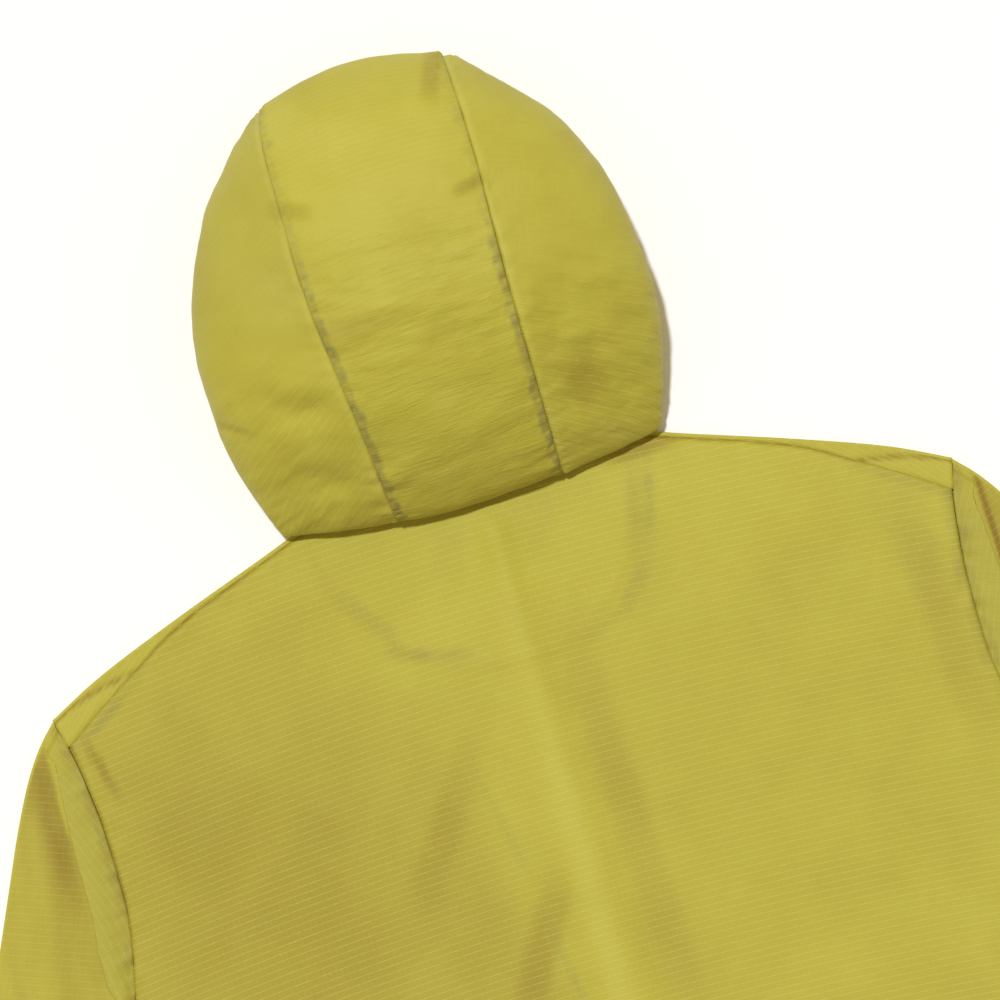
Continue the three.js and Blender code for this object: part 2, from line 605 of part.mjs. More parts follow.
// The origin goes under the middle of the whole box.
const box = new THREE.Box3().setFromObject(jacket);
const middle = box.getCenter(new THREE.Vector3());
jacket.position.set(-middle.x, -middle.y, -box.min.z);

export default jacket;
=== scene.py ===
"""A hooded ripstop windbreaker laid flat on its front, back up, with its hood softly filled.

The cutting frame is in millimetres: X runs across the back to the right, Y from the hem to the
hood with Y = 0 at the shoulder points, and Z is height above the surface. Every cloth piece is a
grid of points on its middle surface, given its folds, its threads and a thin wall.
"""
import logging
import math
from dataclasses import dataclass, field
from enum import Enum
from typing import Iterable, Optional, Sequence, Union

import bmesh
import bpy
import numpy as np
from mathutils import Matrix, Vector


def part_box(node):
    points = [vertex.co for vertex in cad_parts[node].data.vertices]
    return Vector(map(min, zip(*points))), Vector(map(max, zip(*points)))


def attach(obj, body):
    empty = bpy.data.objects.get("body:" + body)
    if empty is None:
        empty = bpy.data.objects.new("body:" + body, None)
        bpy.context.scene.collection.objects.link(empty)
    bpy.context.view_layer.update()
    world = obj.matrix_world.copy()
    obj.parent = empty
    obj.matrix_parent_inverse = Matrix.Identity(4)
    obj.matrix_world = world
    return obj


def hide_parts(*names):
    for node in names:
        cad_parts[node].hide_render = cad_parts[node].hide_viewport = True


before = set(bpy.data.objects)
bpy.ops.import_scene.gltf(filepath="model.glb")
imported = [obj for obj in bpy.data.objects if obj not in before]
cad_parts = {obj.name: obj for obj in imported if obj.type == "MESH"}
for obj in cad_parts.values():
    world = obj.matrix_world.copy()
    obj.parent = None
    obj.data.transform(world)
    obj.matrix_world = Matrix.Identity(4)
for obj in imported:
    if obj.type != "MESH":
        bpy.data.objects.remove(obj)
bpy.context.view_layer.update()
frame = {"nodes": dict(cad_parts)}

log = logging.getLogger("windbreaker")

Values = Union[float, np.ndarray]  # one number, or a grid of them
Socket = bpy.types.NodeSocket
Part = Union[float, Socket]
Key = Union[int, str]

MM = 0.001
ROOT = "root"
SIDES = {1: "right", -1: "left"}

# The body's cut, in the cutting frame
HEM_Y = -650.0
FLOOR = 0.5  # height of the lowest cloth's middle surface
REST = 2.4  # height of the back's middle surface
FOLD_R = 1.5  # radius of the shoulder's fold
SHOULDER_X = 243.5
NECK_X = 88.0
NECK_CORNER_X = 90.5
NECK_Y = 60.5
NECK_FRONT_Y = -38.0
NECK_BACK_Y = 57.0
ZIP_X = 4.0
ZIP_TOP_Y = 31.0
ZIP_EDGE = 4.6  # from the zip's middle to a front's edge
GAP = 0.05  # half of the hairline between two sewn edges
WALL = 0.35  # thickness of the cloth that shows

SIDE_EDGE = np.array([  # Y, X
    (-650, 268), (-540, 267), (-420, 266.5), (-330, 265.5), (-262, 263.5), (-240, 261.5),
    (-212, 257), (-180, 250), (-150, 242.5), (-123, 236.5), (-100, 233.6), (-80, 233.4),
    (-60, 234), (-40, 235.7), (-20, 238.5), (0, 243.5),
], float)
UNDERARM = (264.4, -262.0)
SHOULDER_FOLD = np.array([(88, 61.5), (105, 55), (168, 33), (215, 15), (245, 0)], float)
SHOULDER_WRAP = np.array([(88, 2.4), (140, 2.6), (168, 4), (195, 9.5), (215, 13.5), (245, 19)], float)
SLEEVE_OUTER = np.array([
    (243.5, 0), (253, -10), (263, -24), (276, -48), (290, -78), (303, -106), (317, -135),
    (345, -195), (372, -255), (400, -318), (430, -388), (458, -455), (483, -520), (505, -580),
], float)
SLEEVE_INNER = np.array([
    (264.4, -262), (269, -300), (274.5, -345), (282.5, -390), (295, -432), (314, -475),
    (339, -520), (368.5, -568), (400, -620),
], float)
SLEEVE_HIGH = (3.5, 2.5)  # height of its top layer at the outer and the inner edge
PLEAT = np.array([  # Y, and how far out the pleat's edge lies there
    (-262, 2), (-190, 3.5), (-150, 10), (-123, 15.8), (-100, 18.5), (-60, 18.3), (-20, 13), (0, 6),
], float)
# Share of the pleat's width past the armhole, and height over the base
PLEAT_PROFILE = np.array([(0, 0.3), (0.5, 1.7), (0.95, 2.8), (1.25, 0.6), (1.8, 0.1), (3, 1.0), (5, 1.5)])
SLEEVE_ROWS = np.array([
    # share of the outer edge, of the inner edge, bulge by the underarm, bow of the armhole, rise
    (0, 0, 0, 1, 0.3), (0.006, 0.0006, 1.5, 1, 0.3), (0.012, 0.0012, 3, 1, 0.3),
    (0.02, 0.002, 4.5, 1, 0.3), (0.03, 0.003, 6.5, 1, 0.3), (0.042, 0.0045, 8.5, 1, 0.3),
    (0.056, 0.0065, 10.5, 1, 0.3), (0.075, 0.009, 12.5, 0.97, 0.5), (0.1, 0.013, 14.5, 0.9, 0.8),
    (0.135, 0.019, 16, 0.8, 1.2), (0.18, 0.028, 17, 0.65, 1.6), (0.24, 0.042, 17, 0.45, 1.4),
    (0.31, 0.065, 15, 0.25, 1.2), (0.39, 0.105, 11, 0.1, 1.5), (0.47, 0.17, 6, 0, 1.1),
    (0.55, 0.26, 2, 0, 1.7), (0.64, 0.39, 0, 0, 1.2), (0.73, 0.53, 0, 0, 1.5),
    (0.82, 0.69, 0, 0, 1.0), (0.91, 0.84, 0, 0, 1.2), (1, 1, 0, 0, 0.8),
], float)
HOOD_COLUMNS = ("mid_y", "mid_z", "wide_x", "wide_y", "wide_z", "lay_x", "lay_y", "rim_x", "rim_y",
                "seam_left", "seam_right")
HOOD_ROWS = np.array([  # the cloth sags a few millimetres inside its form at the nape
    (57, 4.8, 88, 60.5, 4.8, 87.2, 60.5, 0, -38, 42, 47),
    (49.5, 9, 94, 60.5, 7.5, 84, 67, 0, -18, 42, 47),
    (48, 15, 100, 58.5, 11, 78, 73, 0, 6, 42, 47),
    (55, 30, 104, 66, 16, 75, 80, 0, 31, 43, 47),
    (77, 52, 110, 84, 23, 78, 92, 30, 58, 45, 47),
    (109, 74, 116.5, 110, 30, 85, 113, 60, 92, 48, 47),
    (145, 86, 118.5, 140, 33, 90, 140, 76, 128, 52, 47),
    (182, 87, 116, 172, 33, 90, 168, 80, 162, 55, 48),
    (216, 79, 108, 202, 31, 85, 195, 76, 190, 55, 49),
    (246, 63, 94, 230, 27, 75, 219, 67, 212, 55, 49),
    (268, 44, 77, 251, 21, 63, 238, 58, 225, 54, 48.5),
    (281, 26, 61, 267, 14, 54, 250, 52, 232, 52, 48),
    (284, 12, 52, 274, 7, 49, 258, 48, 236, 50.5, 48),
    (276, 1.6, 49, 265, 1.4, 47, 252, 46, 238.5, 47.5, 47.5),
    (247, 0.5, 47, 243.5, 0.5, 46, 242, 44, 240, 45.5, 45.5),
], float)
HOOD_WIDE = 0.5  # share of a half-row where the hood is widest
HOOD_LAY = 0.72  # share where it comes to the surface
HOOD_FULL = 0.86  # below 1 the dome is fuller than an ellipse
STRAIGHT_ROW = 4.0  # from this row up the cloth runs straight to the rim
SIDE_LAST_ROW = 12.0  # where the side panels end


def mix(a: Values, b: Values, t: Values) -> Values:
    """Value between a and b at share t."""
    return a + (b - a) * t


def smooth(t: Values) -> Values:
    """Smooth step of t from 0 to 1."""
    t = np.clip(t, 0.0, 1.0)
    return t * t * (3.0 - 2.0 * t)


def bell(t: Values) -> Values:
    """Bell curve that is 1 at t = 0."""
    return np.exp(-np.square(t))


def cubic(t: Values, a: Values, b: Values, slope_a: Values, slope_b: Values) -> Values:
    """Cubic from a to b at share t, with given slopes at its ends."""
    return ((2 * t ** 3 - 3 * t ** 2 + 1) * a + (t ** 3 - 2 * t ** 2 + t) * slope_a
            + (3 * t ** 2 - 2 * t ** 3) * b + (t ** 3 - t ** 2) * slope_b)


def direction(degrees: float) -> tuple[float, float]:
    """Cosine and sine of a heading."""
    return math.cos(math.radians(degrees)), math.sin(math.radians(degrees))


def on_line(x: Values, y: Values, line: Sequence[float]) -> tuple[Values, Values, float]:
    """Measures a place against a straight line in plan.

    Args:
        x: Place across, in millimetres.
        y: Place along, in millimetres.
        line: X and Y of the line's start, then of its end.

    Returns:
        Millimetres along the line, millimetres to its right, and the line's length.
    """
    x0, y0, x1, y1 = line
    ux, uy = x1 - x0, y1 - y0
    long = math.hypot(ux, uy)
    return ((x - x0) * ux + (y - y0) * uy) / long, ((x - x0) * uy - (y - y0) * ux) / long, long


def hermite(x: Values, table: np.ndarray) -> Values:
    """Reads a table of (x, y) pairs with a smooth curve that doesn't overshoot.

    Args:
        x: Where to read it.
        table: Pairs, rising in x.

    Returns:
        The values at x.
    """
    xs, ys = table[:, 0], table[:, 1]
    slope = np.diff(ys) / np.diff(xs)
    m = np.zeros_like(ys)
    m[1:-1] = np.where(slope[:-1] * slope[1:] > 0,
                       2 * slope[:-1] * slope[1:] / (slope[:-1] + slope[1:] + 1e-12), 0.0)
    m[0], m[-1] = slope[0], slope[-1]
    x = np.clip(x, xs[0], xs[-1])
    i = np.clip(np.searchsorted(xs, x, side="right") - 1, 0, len(xs) - 2)
    h = xs[i + 1] - xs[i]
    t = (x - xs[i]) / h
    return cubic(t, ys[i], ys[i + 1], h * m[i], h * m[i + 1])


def row_value(table: np.ndarray, column: int, at: Values) -> Values:
    """Reads a table's column with a smooth curve through its rows.

    Args:
        table: The table.
        column: Which of its columns.
        at: Position counted in rows.

    Returns:
        The values there.
    """
    last = len(table) - 1
    i = np.clip(np.floor(at).astype(int), 0, last - 1)
    t = at - i
    p0 = table[np.maximum(i - 1, 0), column]
    p1, p2 = table[i, column], table[i + 1, column]
    p3 = table[np.minimum(i + 2, last), column]
    return cubic(t, p1, p2, (p2 - p0) / 2, (p3 - p1) / 2)


def side_x(y: Values) -> Values:
    """Side seam, then armhole, of the right half."""
    return hermite(y, SIDE_EDGE)


def fold_y(x: Values) -> Values:
    """Shoulder fold."""
    return hermite(np.abs(x), SHOULDER_FOLD)


def wrap_at(x: Values) -> Values:
    """How far the front comes over the shoulder fold before its seam."""
    return hermite(np.abs(x), SHOULDER_WRAP)


def linear(value: int) -> tuple[float, float, float, float]:
    """Turns an sRGB hex value into linear colour with full alpha."""
    channels = [((value >> shift) & 255) / 255 for shift in (16, 8, 0)]
    return (*[c / 12.92 if c <= 0.04045 else ((c + 0.055) / 1.055) ** 2.4 for c in channels], 1.0)


class Curve:
    """A plan curve through given points, rounded like a flexible spline and read by its length."""

    def __init__(self, points: np.ndarray) -> None:
        """Traces the curve closely.

        Args:
            points: Plan points in order.
        """
        p = points
        knot = np.r_[0, np.cumsum(np.sqrt(np.linalg.norm(np.diff(p, axis=0), axis=1)))]
        ends = np.vstack([2 * p[0] - p[1], p, 2 * p[-1] - p[-2]])
        knots = np.r_[2 * knot[0] - knot[1], knot, 2 * knot[-1] - knot[-2]]
        at = np.linspace(0, knot[-1], 2001)
        i = np.clip(np.searchsorted(knot, at, side="right") - 1, 0, len(p) - 2)
        q = [ends[i + j] for j in range(4)]
        k = [knots[i + j][:, None] for j in range(4)]
        t = at[:, None]

        def blend(a: np.ndarray, b: np.ndarray, ka: np.ndarray, kb: np.ndarray) -> np.ndarray:
            """Straight blend of two curves between two knots."""
            return (kb - t) / (kb - ka) * a + (t - ka) / (kb - ka) * b

        a1, a2, a3 = (blend(q[j], q[j + 1], k[j], k[j + 1]) for j in range(3))
        b1, b2 = blend(a1, a2, k[0], k[2]), blend(a2, a3, k[1], k[3])
        self.line = blend(b1, b2, k[1], k[2])
        self.along = arc(self.line, 0)

    def at(self, share: Values) -> np.ndarray:
        """Plan point at a share of the curve's length."""
        d = np.asarray(share) * self.along[-1]
        return np.stack([np.interp(d, self.along, self.line[:, c]) for c in (0, 1)], -1)

    def into(self, share: Values, turn: float) -> np.ndarray:
        """Finds the direction square to the curve.

        Args:
            share: Where, as a share of the curve's length.
            turn: -1 for its right side, 1 for its left.

        Returns:
            The unit direction in plan.
        """
        t = self.at(np.clip(share + 0.002, 0, 1)) - self.at(np.clip(share - 0.002, 0, 1))
        n = np.stack([-t[..., 1], t[..., 0]], -1) * turn
        return n / np.linalg.norm(n, axis=-1, keepdims=True)


class Noise:
    """Smooth random relief on a plane, seeded, with gradients on a lattice.

    A number added to a place only chooses another part of the relief.
    """

    def __init__(self, seed: int) -> None:
        """Draws the lattice's gradients.

        Args:
            seed: Seed of the random draws.
        """
        rng = np.random.default_rng(seed)
        self.order = rng.permutation(256)
        angle = rng.uniform(0, 2 * math.pi, 256)
        self.gradient = np.stack([np.cos(angle), np.sin(angle)], -1)

    def single(self, x: Values, y: Values) -> Values:
        """Reads one layer of the relief, with features one unit wide.

        Args:
            x: Place across, in units.
            y: Place along, in units.

        Returns:
            The relief, between about -1 and 1.
        """
        xi, yi = np.floor(x).astype(int), np.floor(y).astype(int)
        xf, yf = x - xi, y - yi
        total = 0.0
        for dx in (0, 1):
            for dy in (0, 1):
                g = self.gradient[self.order[(self.order[(xi + dx) % 256] + yi + dy) % 256]]
                weight = smooth(1 - np.abs(xf - dx)) * smooth(1 - np.abs(yf - dy))
                total = total + weight * (g[..., 0] * (xf - dx) + g[..., 1] * (yf - dy))
        return 1.6 * total

    def layers(self, x: Values, y: Values, size: float, count: int = 3, stretch: float = 1.0,
               turn: float = 0.0) -> Values:
        """Several layers, each half as large and half as high as the one before.

        Args:
            x: Place across, in millimetres.
            y: Place along, in millimetres.
            size: Width of the largest features, in millimetres.
            count: How many layers.
            stretch: How much longer than wide the features are.
            turn: Heading of their long way, in degrees from the X axis.

        Returns:
            The relief, between about -1 and 1.
        """
        c, s = direction(turn)
        u, v = (x * c + y * s) / stretch, -x * s + y * c
        total, high = 0.0, 1.0
        for k in range(count):
            total = total + high * self.single(u / size + 17.3 * k, v / size - 9.1 * k)
            size, high = size / 2, high / 2
        return total


@dataclass(frozen=True)
class Crease:
    """One soft trough or ridge, placed one by one.

    The profile may lean: `lean` above 0 makes the side on the left of its run steeper.
    """

    x0: float
    y0: float
    x1: float
    y1: float
    high: float
    wide: float
    bend: float = 0.0
    lean: float = 0.0
    open_end: bool = False

    def height(self, x: Values, y: Values) -> Values:
        """Works out the height that the crease adds at a place of the plan.

        Args:
            x: Place across, in millimetres.
            y: Place along, in millimetres.

        Returns:
            Millimetres.
        """
        along, across, long = on_line(x, y, (self.x0, self.y0, self.x1, self.y1))
        t = along / long
        across = across - self.bend * 4 * t * (1 - t)
        fade = smooth(t / 0.35)
        fade = fade * (1.0 if self.open_end else 1 - smooth((t - 0.65) / 0.35))
        q = across / self.wide
        q = np.where(q > 0, q * (1 + self.lean), q * (1 - self.lean))
        return self.high * fade * bell(q)


def creases(items: Iterable[Crease], x: Values, y: Values) -> Values:
    """Sum of several creases at a place."""
    return sum((c.height(x, y) for c in items), np.zeros_like(x))


@dataclass(frozen=True)
class Patch:
    """A soft oval of changed tone, used for painted shade and highlights and where another layer of cloth
    shows through.
    """

    x: float
    y: float
    long: float
    wide: float
    turn: float
    amount: float

    def paint(self, x: Values, y: Values) -> Values:
        """Works out how much is painted at a place of the plan.

        Args:
            x: Place across, in millimetres.
            y: Place along, in millimetres.

        Returns:
            The amount there.
        """
        c, s = direction(self.turn)
        u, v = (x - self.x) * c + (y - self.y) * s, -(x - self.x) * s + (y - self.y) * c
        return self.amount * np.exp(-((u / self.long) ** 4)) * np.exp(-((v / self.wide) ** 4))


def patches(items: Iterable[Patch], x: Values, y: Values) -> Values:
    """Sum of several patches at a place."""
    return sum((q.paint(x, y) for q in items), np.zeros_like(x))


BACK_FOLDS = (  # long soft folds: start, end, height and width; those down to the hem stay open
    (-14, -70, -8, -230, 0.9, 10), (-236, -150, -140, -350, 3.4, 17), (240, -160, 160, -380, 3.8, 18),
    (-112, -400, -176, -650, 4.6, 20), (88, -380, 136, -650, 4.2, 22), (-60, -470, -52, -650, 2.6, 16),
    (218, -430, 206, -650, 3.6, 18),
)
FOLD_FADE = 60.0  # mm over which a fold dies away


def back_z(x: Values, y: Values) -> Values:
    """Works out how high the back lies over the zip, the fronts and its own long folds.

    Args:
        x: Place across, in millimetres.
        y: Place along, in millimetres.

    Returns:
        Height of the middle surface, in millimetres.
    """
    dx = x - ZIP_X
    low = smooth(-y / 200)
    at_chin = smooth((y + 25) / 35) * (1 - smooth((y - 34) / 14))
    past = 1 - smooth((y - 30) / 20)
    z = REST + mix(1.9, 3.3, at_chin) * bell(dx / mix(7.5, 12.0, low)) * past
    z = z + 0.8 * np.exp(-((dx / 17) ** 4)) * past
    z = z + 1.1 * smooth((y - fold_y(x) + 75) / 50)
    for *line, high, wide in BACK_FOLDS:
        along, across, long = on_line(x, y, line)
        fade = smooth(along / FOLD_FADE)
        if line[-1] > HEM_Y:
            fade = fade * (1 - smooth((along - long + FOLD_FADE) / FOLD_FADE))
        z = z + high * fade * bell(across / wide)
    return z


def arc(points: np.ndarray, axis: int) -> np.ndarray:
    """Measures along one way of a grid of points, from its first line.

    Args:
        points: The grid.
        axis: 0 along the columns, 1 along the rows.

    Returns:
        The length at each point.
    """
    step = np.linalg.norm(np.diff(points, axis=axis), axis=-1)
    start = np.zeros_like(np.take(step, [0], axis=axis))
    return np.concatenate([start, np.cumsum(step, axis=axis)], axis=axis)


def normals(points: np.ndarray) -> np.ndarray:
    """Unit normals of a grid of points, by differences."""
    n = np.cross(np.gradient(points, axis=1), np.gradient(points, axis=0))
    return n / np.maximum(np.linalg.norm(n, axis=-1, keepdims=True), 1e-9)


def resample(table: np.ndarray, rows: int, cols: int) -> np.ndarray:
    """Reads a coarse grid at more rows and columns, in straight steps.

    Args:
        table: The coarse grid.
        rows: Rows wanted.
        cols: Columns wanted.

    Returns:
        The finer grid.
    """
    r = np.linspace(0, table.shape[0] - 1, rows)
    c = np.linspace(0, table.shape[1] - 1, cols)
    r0, c0 = np.minimum(r.astype(int), table.shape[0] - 2), np.minimum(c.astype(int), table.shape[1] - 2)
    tr, tc = (r - r0)[:, None, None], (c - c0)[None, :, None]
    a, b = table[r0][:, c0], table[r0][:, c0 + 1]
    d, e = table[r0 + 1][:, c0], table[r0 + 1][:, c0 + 1]
    return mix(mix(a, b, tc), mix(d, e, tc), tr)


def relax(flat: np.ndarray, points: np.ndarray, steps: int) -> np.ndarray:
    """Moves a flat grid until its edges and diagonals are as long as on the curved cloth.

    Args:
        flat: Flat places to start from.
        points: The curved cloth.
        steps: How many times.

    Returns:
        The flat places.
    """
    pairs = [((slice(None), slice(1, None)), (slice(None), slice(None, -1))),
             ((slice(1, None), slice(None)), (slice(None, -1), slice(None))),
             ((slice(1, None), slice(1, None)), (slice(None, -1), slice(None, -1))),
             ((slice(1, None), slice(None, -1)), (slice(None, -1), slice(1, None)))]
    wanted = [np.linalg.norm(points[a] - points[b], axis=-1, keepdims=True) for a, b in pairs]
    for _ in range(steps):
        move, count = np.zeros_like(flat), np.zeros(flat.shape[:2] + (1,))
        for (a, b), length in zip(pairs, wanted):
            gap = flat[a] - flat[b]
            now = np.maximum(np.linalg.norm(gap, axis=-1, keepdims=True), 1e-9)
            shift = 0.5 * gap * (length / now - 1)
            move[a] += shift
            move[b] -= shift
            count[a] += 1
            count[b] += 1
        flat = flat + 1.3 * move / count
    return flat


def flatten(points: np.ndarray, coarse: int = 26) -> np.ndarray:
    """Lays a curved panel flat, as the maker's pattern of it.

    Args:
        points: The grid of points of the panel.
        coarse: Rows and columns of the grid that is relaxed first.

    Returns:
        Flat places in millimetres, one for each point.
    """
    rows, cols = points.shape[:2]
    small = resample(points, coarse, coarse)
    flat = np.stack([arc(small, 1), arc(small, 0)[:, :1] + np.zeros((1, coarse))], -1)
    flat = relax(flat, small, 1500)
    return relax(resample(flat, rows, cols), points, 120)


def turned(flat: np.ndarray, degrees: float) -> np.ndarray:
    """Turns flat places, so that their first way runs along the crosswise threads."""
    c, s = direction(degrees)
    return np.stack([flat[..., 0] * c + flat[..., 1] * s, -flat[..., 0] * s + flat[..., 1] * c], -1)


ORIGIN_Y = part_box("back")[0][1] - HEM_Y * MM  # where Y = 0 of the cutting frame lies


def to_metres(points: np.ndarray) -> np.ndarray:
    """Moves points from the cutting frame to the model's.

    Args:
        points: Points in millimetres.

    Returns:
        The points in metres.
    """
    out = np.asarray(points, float) * MM
    out[..., 1] += ORIGIN_Y
    return out


def node(tree: bpy.types.NodeTree, kind: str, settings: Optional[dict] = None,
         links: Optional[dict] = None) -> bpy.types.Node:
    """Adds a node.

    Args:
        tree: The node tree.
        kind: Blender's name for the node.
        settings: Properties by name, and input values by the input's name or number.
        links: Output sockets by the name or number of the input that they feed.

    Returns:
        The node.
    """
    made = tree.nodes.new(kind)
    for key, value in (settings or {}).items():
        if isinstance(key, str) and hasattr(made, key):
            setattr(made, key, value)
        else:
            made.inputs[key].default_value = value
    for key, socket in (links or {}).items():
        tree.links.new(socket, made.inputs[key])
    return made


class Nodes:
    """A new material, with short ways to add the nodes that the finishes share."""

    def __init__(self, name: str) -> None:
        """Starts the material with an empty node tree.

        Args:
            name: The material's name.
        """
        self.material = bpy.data.materials.new(name)
        self.material.use_nodes = True
        self.tree = self.material.node_tree
        self.tree.nodes.clear()

    def add(self, kind: str, settings: Optional[dict] = None, links: Optional[dict] = None,
            out: Key = 0) -> Socket:
        """Adds a node with the given settings and links, and returns its output."""
        return node(self.tree, kind, settings, links).outputs[out]

    def maths(self, operation: str, *parts: Part, clamp: bool = False) -> Socket:
        """Adds a sum.

        Args:
            operation: Blender's name for it.
            parts: Its numbers, or the outputs that feed it.
            clamp: Whether the result is held between 0 and 1.

        Returns:
            The result.
        """
        settings, links = {"operation": operation, "use_clamp": clamp}, {}
        for key, value in enumerate(parts):
            (links if isinstance(value, Socket) else settings)[key] = value
        return self.add("ShaderNodeMath", settings, links)

    def noise(self, place: Socket, scale: float, detail: float, roughness: float = 0.5,
              distortion: float = 0.0) -> Socket:
        """Adds a cloudy noise with the usual four settings, and returns it."""
        return self.add("ShaderNodeTexNoise", {"Scale": scale, "Detail": detail, "Roughness": roughness,
                                               "Distortion": distortion}, {"Vector": place})

    def ranged(self, value: Socket, start: tuple[float, float], end: tuple[float, float],
               how: str = "LINEAR") -> Socket:
        """Maps a value from one range to another.

        Args:
            value: What is mapped.
            start: The range that it is taken from.
            end: The range that it is brought to.
            how: Blender's name for the curve between them.

        Returns:
            The mapped value.
        """
        return self.add("ShaderNodeMapRange", {"interpolation_type": how, "From Min": start[0],
                                               "From Max": start[1], "To Min": end[0], "To Max": end[1]},
                        {"Value": value})

    def painted(self, name: str) -> Socket:
        """Reads what is painted on the cloth under a name."""
        return self.add("ShaderNodeAttribute", {"attribute_name": name}, out="Fac")

    def blended(self, amount: Part, under: Union[int, Socket], over: Union[int, Socket],
                how: str = "MIX") -> Socket:
        """Lays one colour over another.

        Args:
            amount: How much of the upper colour shows.
            under: The lower colour, in hex or from a node.
            over: The upper colour.
            how: Blender's name for the blend.

        Returns:
            The colour.
        """
        settings, links = {"data_type": "RGBA", "blend_type": how}, {}
        for key, value in ((0, amount), (6, under), (7, over)):
            if isinstance(value, Socket):
                links[key] = value
            else:
                settings[key] = linear(value) if isinstance(value, int) else value
        return self.add("ShaderNodeMix", settings, links, 2)

    def finish(self, colour: Socket, height: Socket, strength: float, deep: float,
               settings: dict, links: Optional[dict] = None) -> bpy.types.Material:
        """Ends the material with its surface.

        Args:
            colour: Its colour.
            height: Its fine relief.
            strength: How strongly the relief shows.
            deep: How deep it is, in metres.
            settings: The surface's settings by name.
            links: What feeds its other inputs, by name.

        Returns:
            The material.
        """
        bump = self.add("ShaderNodeBump", {"Strength": strength, "Distance": deep}, {"Height": height})
        surface = self.add("ShaderNodeBsdfPrincipled", settings,
                           {"Base Color": colour, "Normal": bump, **(links or {})})
        node(self.tree, "ShaderNodeOutputMaterial", links={"Surface": surface})
        return self.material


@dataclass(frozen=True)
class Ripstop:
    """Thin sheer nylon ripstop, woven with a thicker thread every few millimetres both ways.

    It gives the eye a fine pale grid on a yellow-green cloth. A painted tone turns it deep and warm
    for painted shade and for double layers, and whitish for painted highlights.
    """

    name: str = "nylon_ripstop"
    base: int = 0xBCB542
    # The deep colour stands for painted shade and double layers, the pale one for the grid's lines and
    # painted highlights, and the grey one after them for double layers and painted shade.
    deep: int = 0x8C7424
    pale: int = 0xDAD272
    doubled_and_shade: int = 0x8A8346
    cross_pitch: float = 3.65  # mm between the lines that run across
    long_pitch: float = 3.15
    line: float = 0.24  # mm, half-width of a line
    cross_high: float = 1.0
    long_high: float = 0.2
    line_shine: float = 0.39
    line_relief: float = 0.3
    wrinkle_relief: float = 3.2
    WRINKLES_ALONG = (0.075, 0.46, 1.0)  # how closely fine wrinkles lie, a mm each way
    WRINKLES_DOWN = (0.4, 0.06, 1.0)

    def make(self) -> bpy.types.Material:
        """Builds the material.

        Returns:
            The material.
        """
        nodes = Nodes(self.name)
        uv = nodes.add("ShaderNodeUVMap", {"uv_map": "Cloth"})
        axes = node(nodes.tree, "ShaderNodeSeparateXYZ", links={0: uv}).outputs
        cloth = nodes.noise(uv, 0.02, 3.0, 0.6)
        grain = nodes.noise(uv, 0.35, 2.0, 0.7)
        strength = nodes.ranged(grain, (0.3, 0.7), (0.25, 1.3))
        lines = []
        for axis, pitch, high in ((1, self.cross_pitch, self.cross_high),
                                  (0, self.long_pitch, self.long_high)):
            away = nodes.maths("PINGPONG", axes[axis], pitch / 2)
            mark = nodes.ranged(away, (self.line * 1.5, self.line * 0.3), (0.0, high), "SMOOTHSTEP")
            lines.append(nodes.maths("MULTIPLY", mark, strength))
        grid = nodes.maths("MAXIMUM", *lines)
        # Painted tone: below 0 it is painted shade, and a double layer at hems and rims, mixed towards the
        # deep colour; above 0 it is a painted highlight.
        tone = nodes.painted("tone")
        dark = nodes.maths("MULTIPLY", tone, -1.0, clamp=True)
        light = nodes.maths("MULTIPLY", tone, 1.0, clamp=True)
        shade = nodes.ranged(cloth, (0.25, 0.75), (0.0, 0.16))
        darker = nodes.maths("ADD", dark, shade, clamp=True)
        colour = nodes.blended(darker, self.base, self.deep)
        # The second paint greys double layers and painted shade.
        colour = nodes.blended(nodes.painted("doubled_and_shade"), colour, self.doubled_and_shade)
        # The grid's lines and the painted highlights lighten it towards the pale colour.
        shown = nodes.maths("MULTIPLY", grid, nodes.painted("lines"))
        lit = nodes.maths("MULTIPLY_ADD", shown, self.line_shine, light, clamp=True)
        colour = nodes.blended(lit, colour, self.pale)
        place = nodes.add("ShaderNodeTexCoord", out="Object")
        crinkle = nodes.noise(place, 260.0, 3.0, 0.55, 0.4)
        relief = nodes.maths("MULTIPLY_ADD", grid, self.line_relief, crinkle)
        drawn = nodes.painted("wrinkle")
        for sign, stretch in ((1.0, self.WRINKLES_ALONG), (-1.0, self.WRINKLES_DOWN)):
            amount = nodes.maths("MULTIPLY", drawn, sign, clamp=True)
            spread = nodes.add("ShaderNodeVectorMath", {"operation": "MULTIPLY", 1: stretch}, {0: uv})
            tall = nodes.maths("MULTIPLY", nodes.noise(spread, 1.0, 4.0, 0.62, 0.5), amount)
            relief = nodes.maths("MULTIPLY_ADD", tall, self.wrinkle_relief, relief)
        gloss = nodes.ranged(grain, (0.3, 0.7), (0.52, 0.66))
        return nodes.finish(colour, relief, 0.5, 0.00045,
                            {"Specular IOR Level": 0.18, "Sheen Weight": 0.06, "Sheen Roughness": 0.5},
                            {"Roughness": gloss})


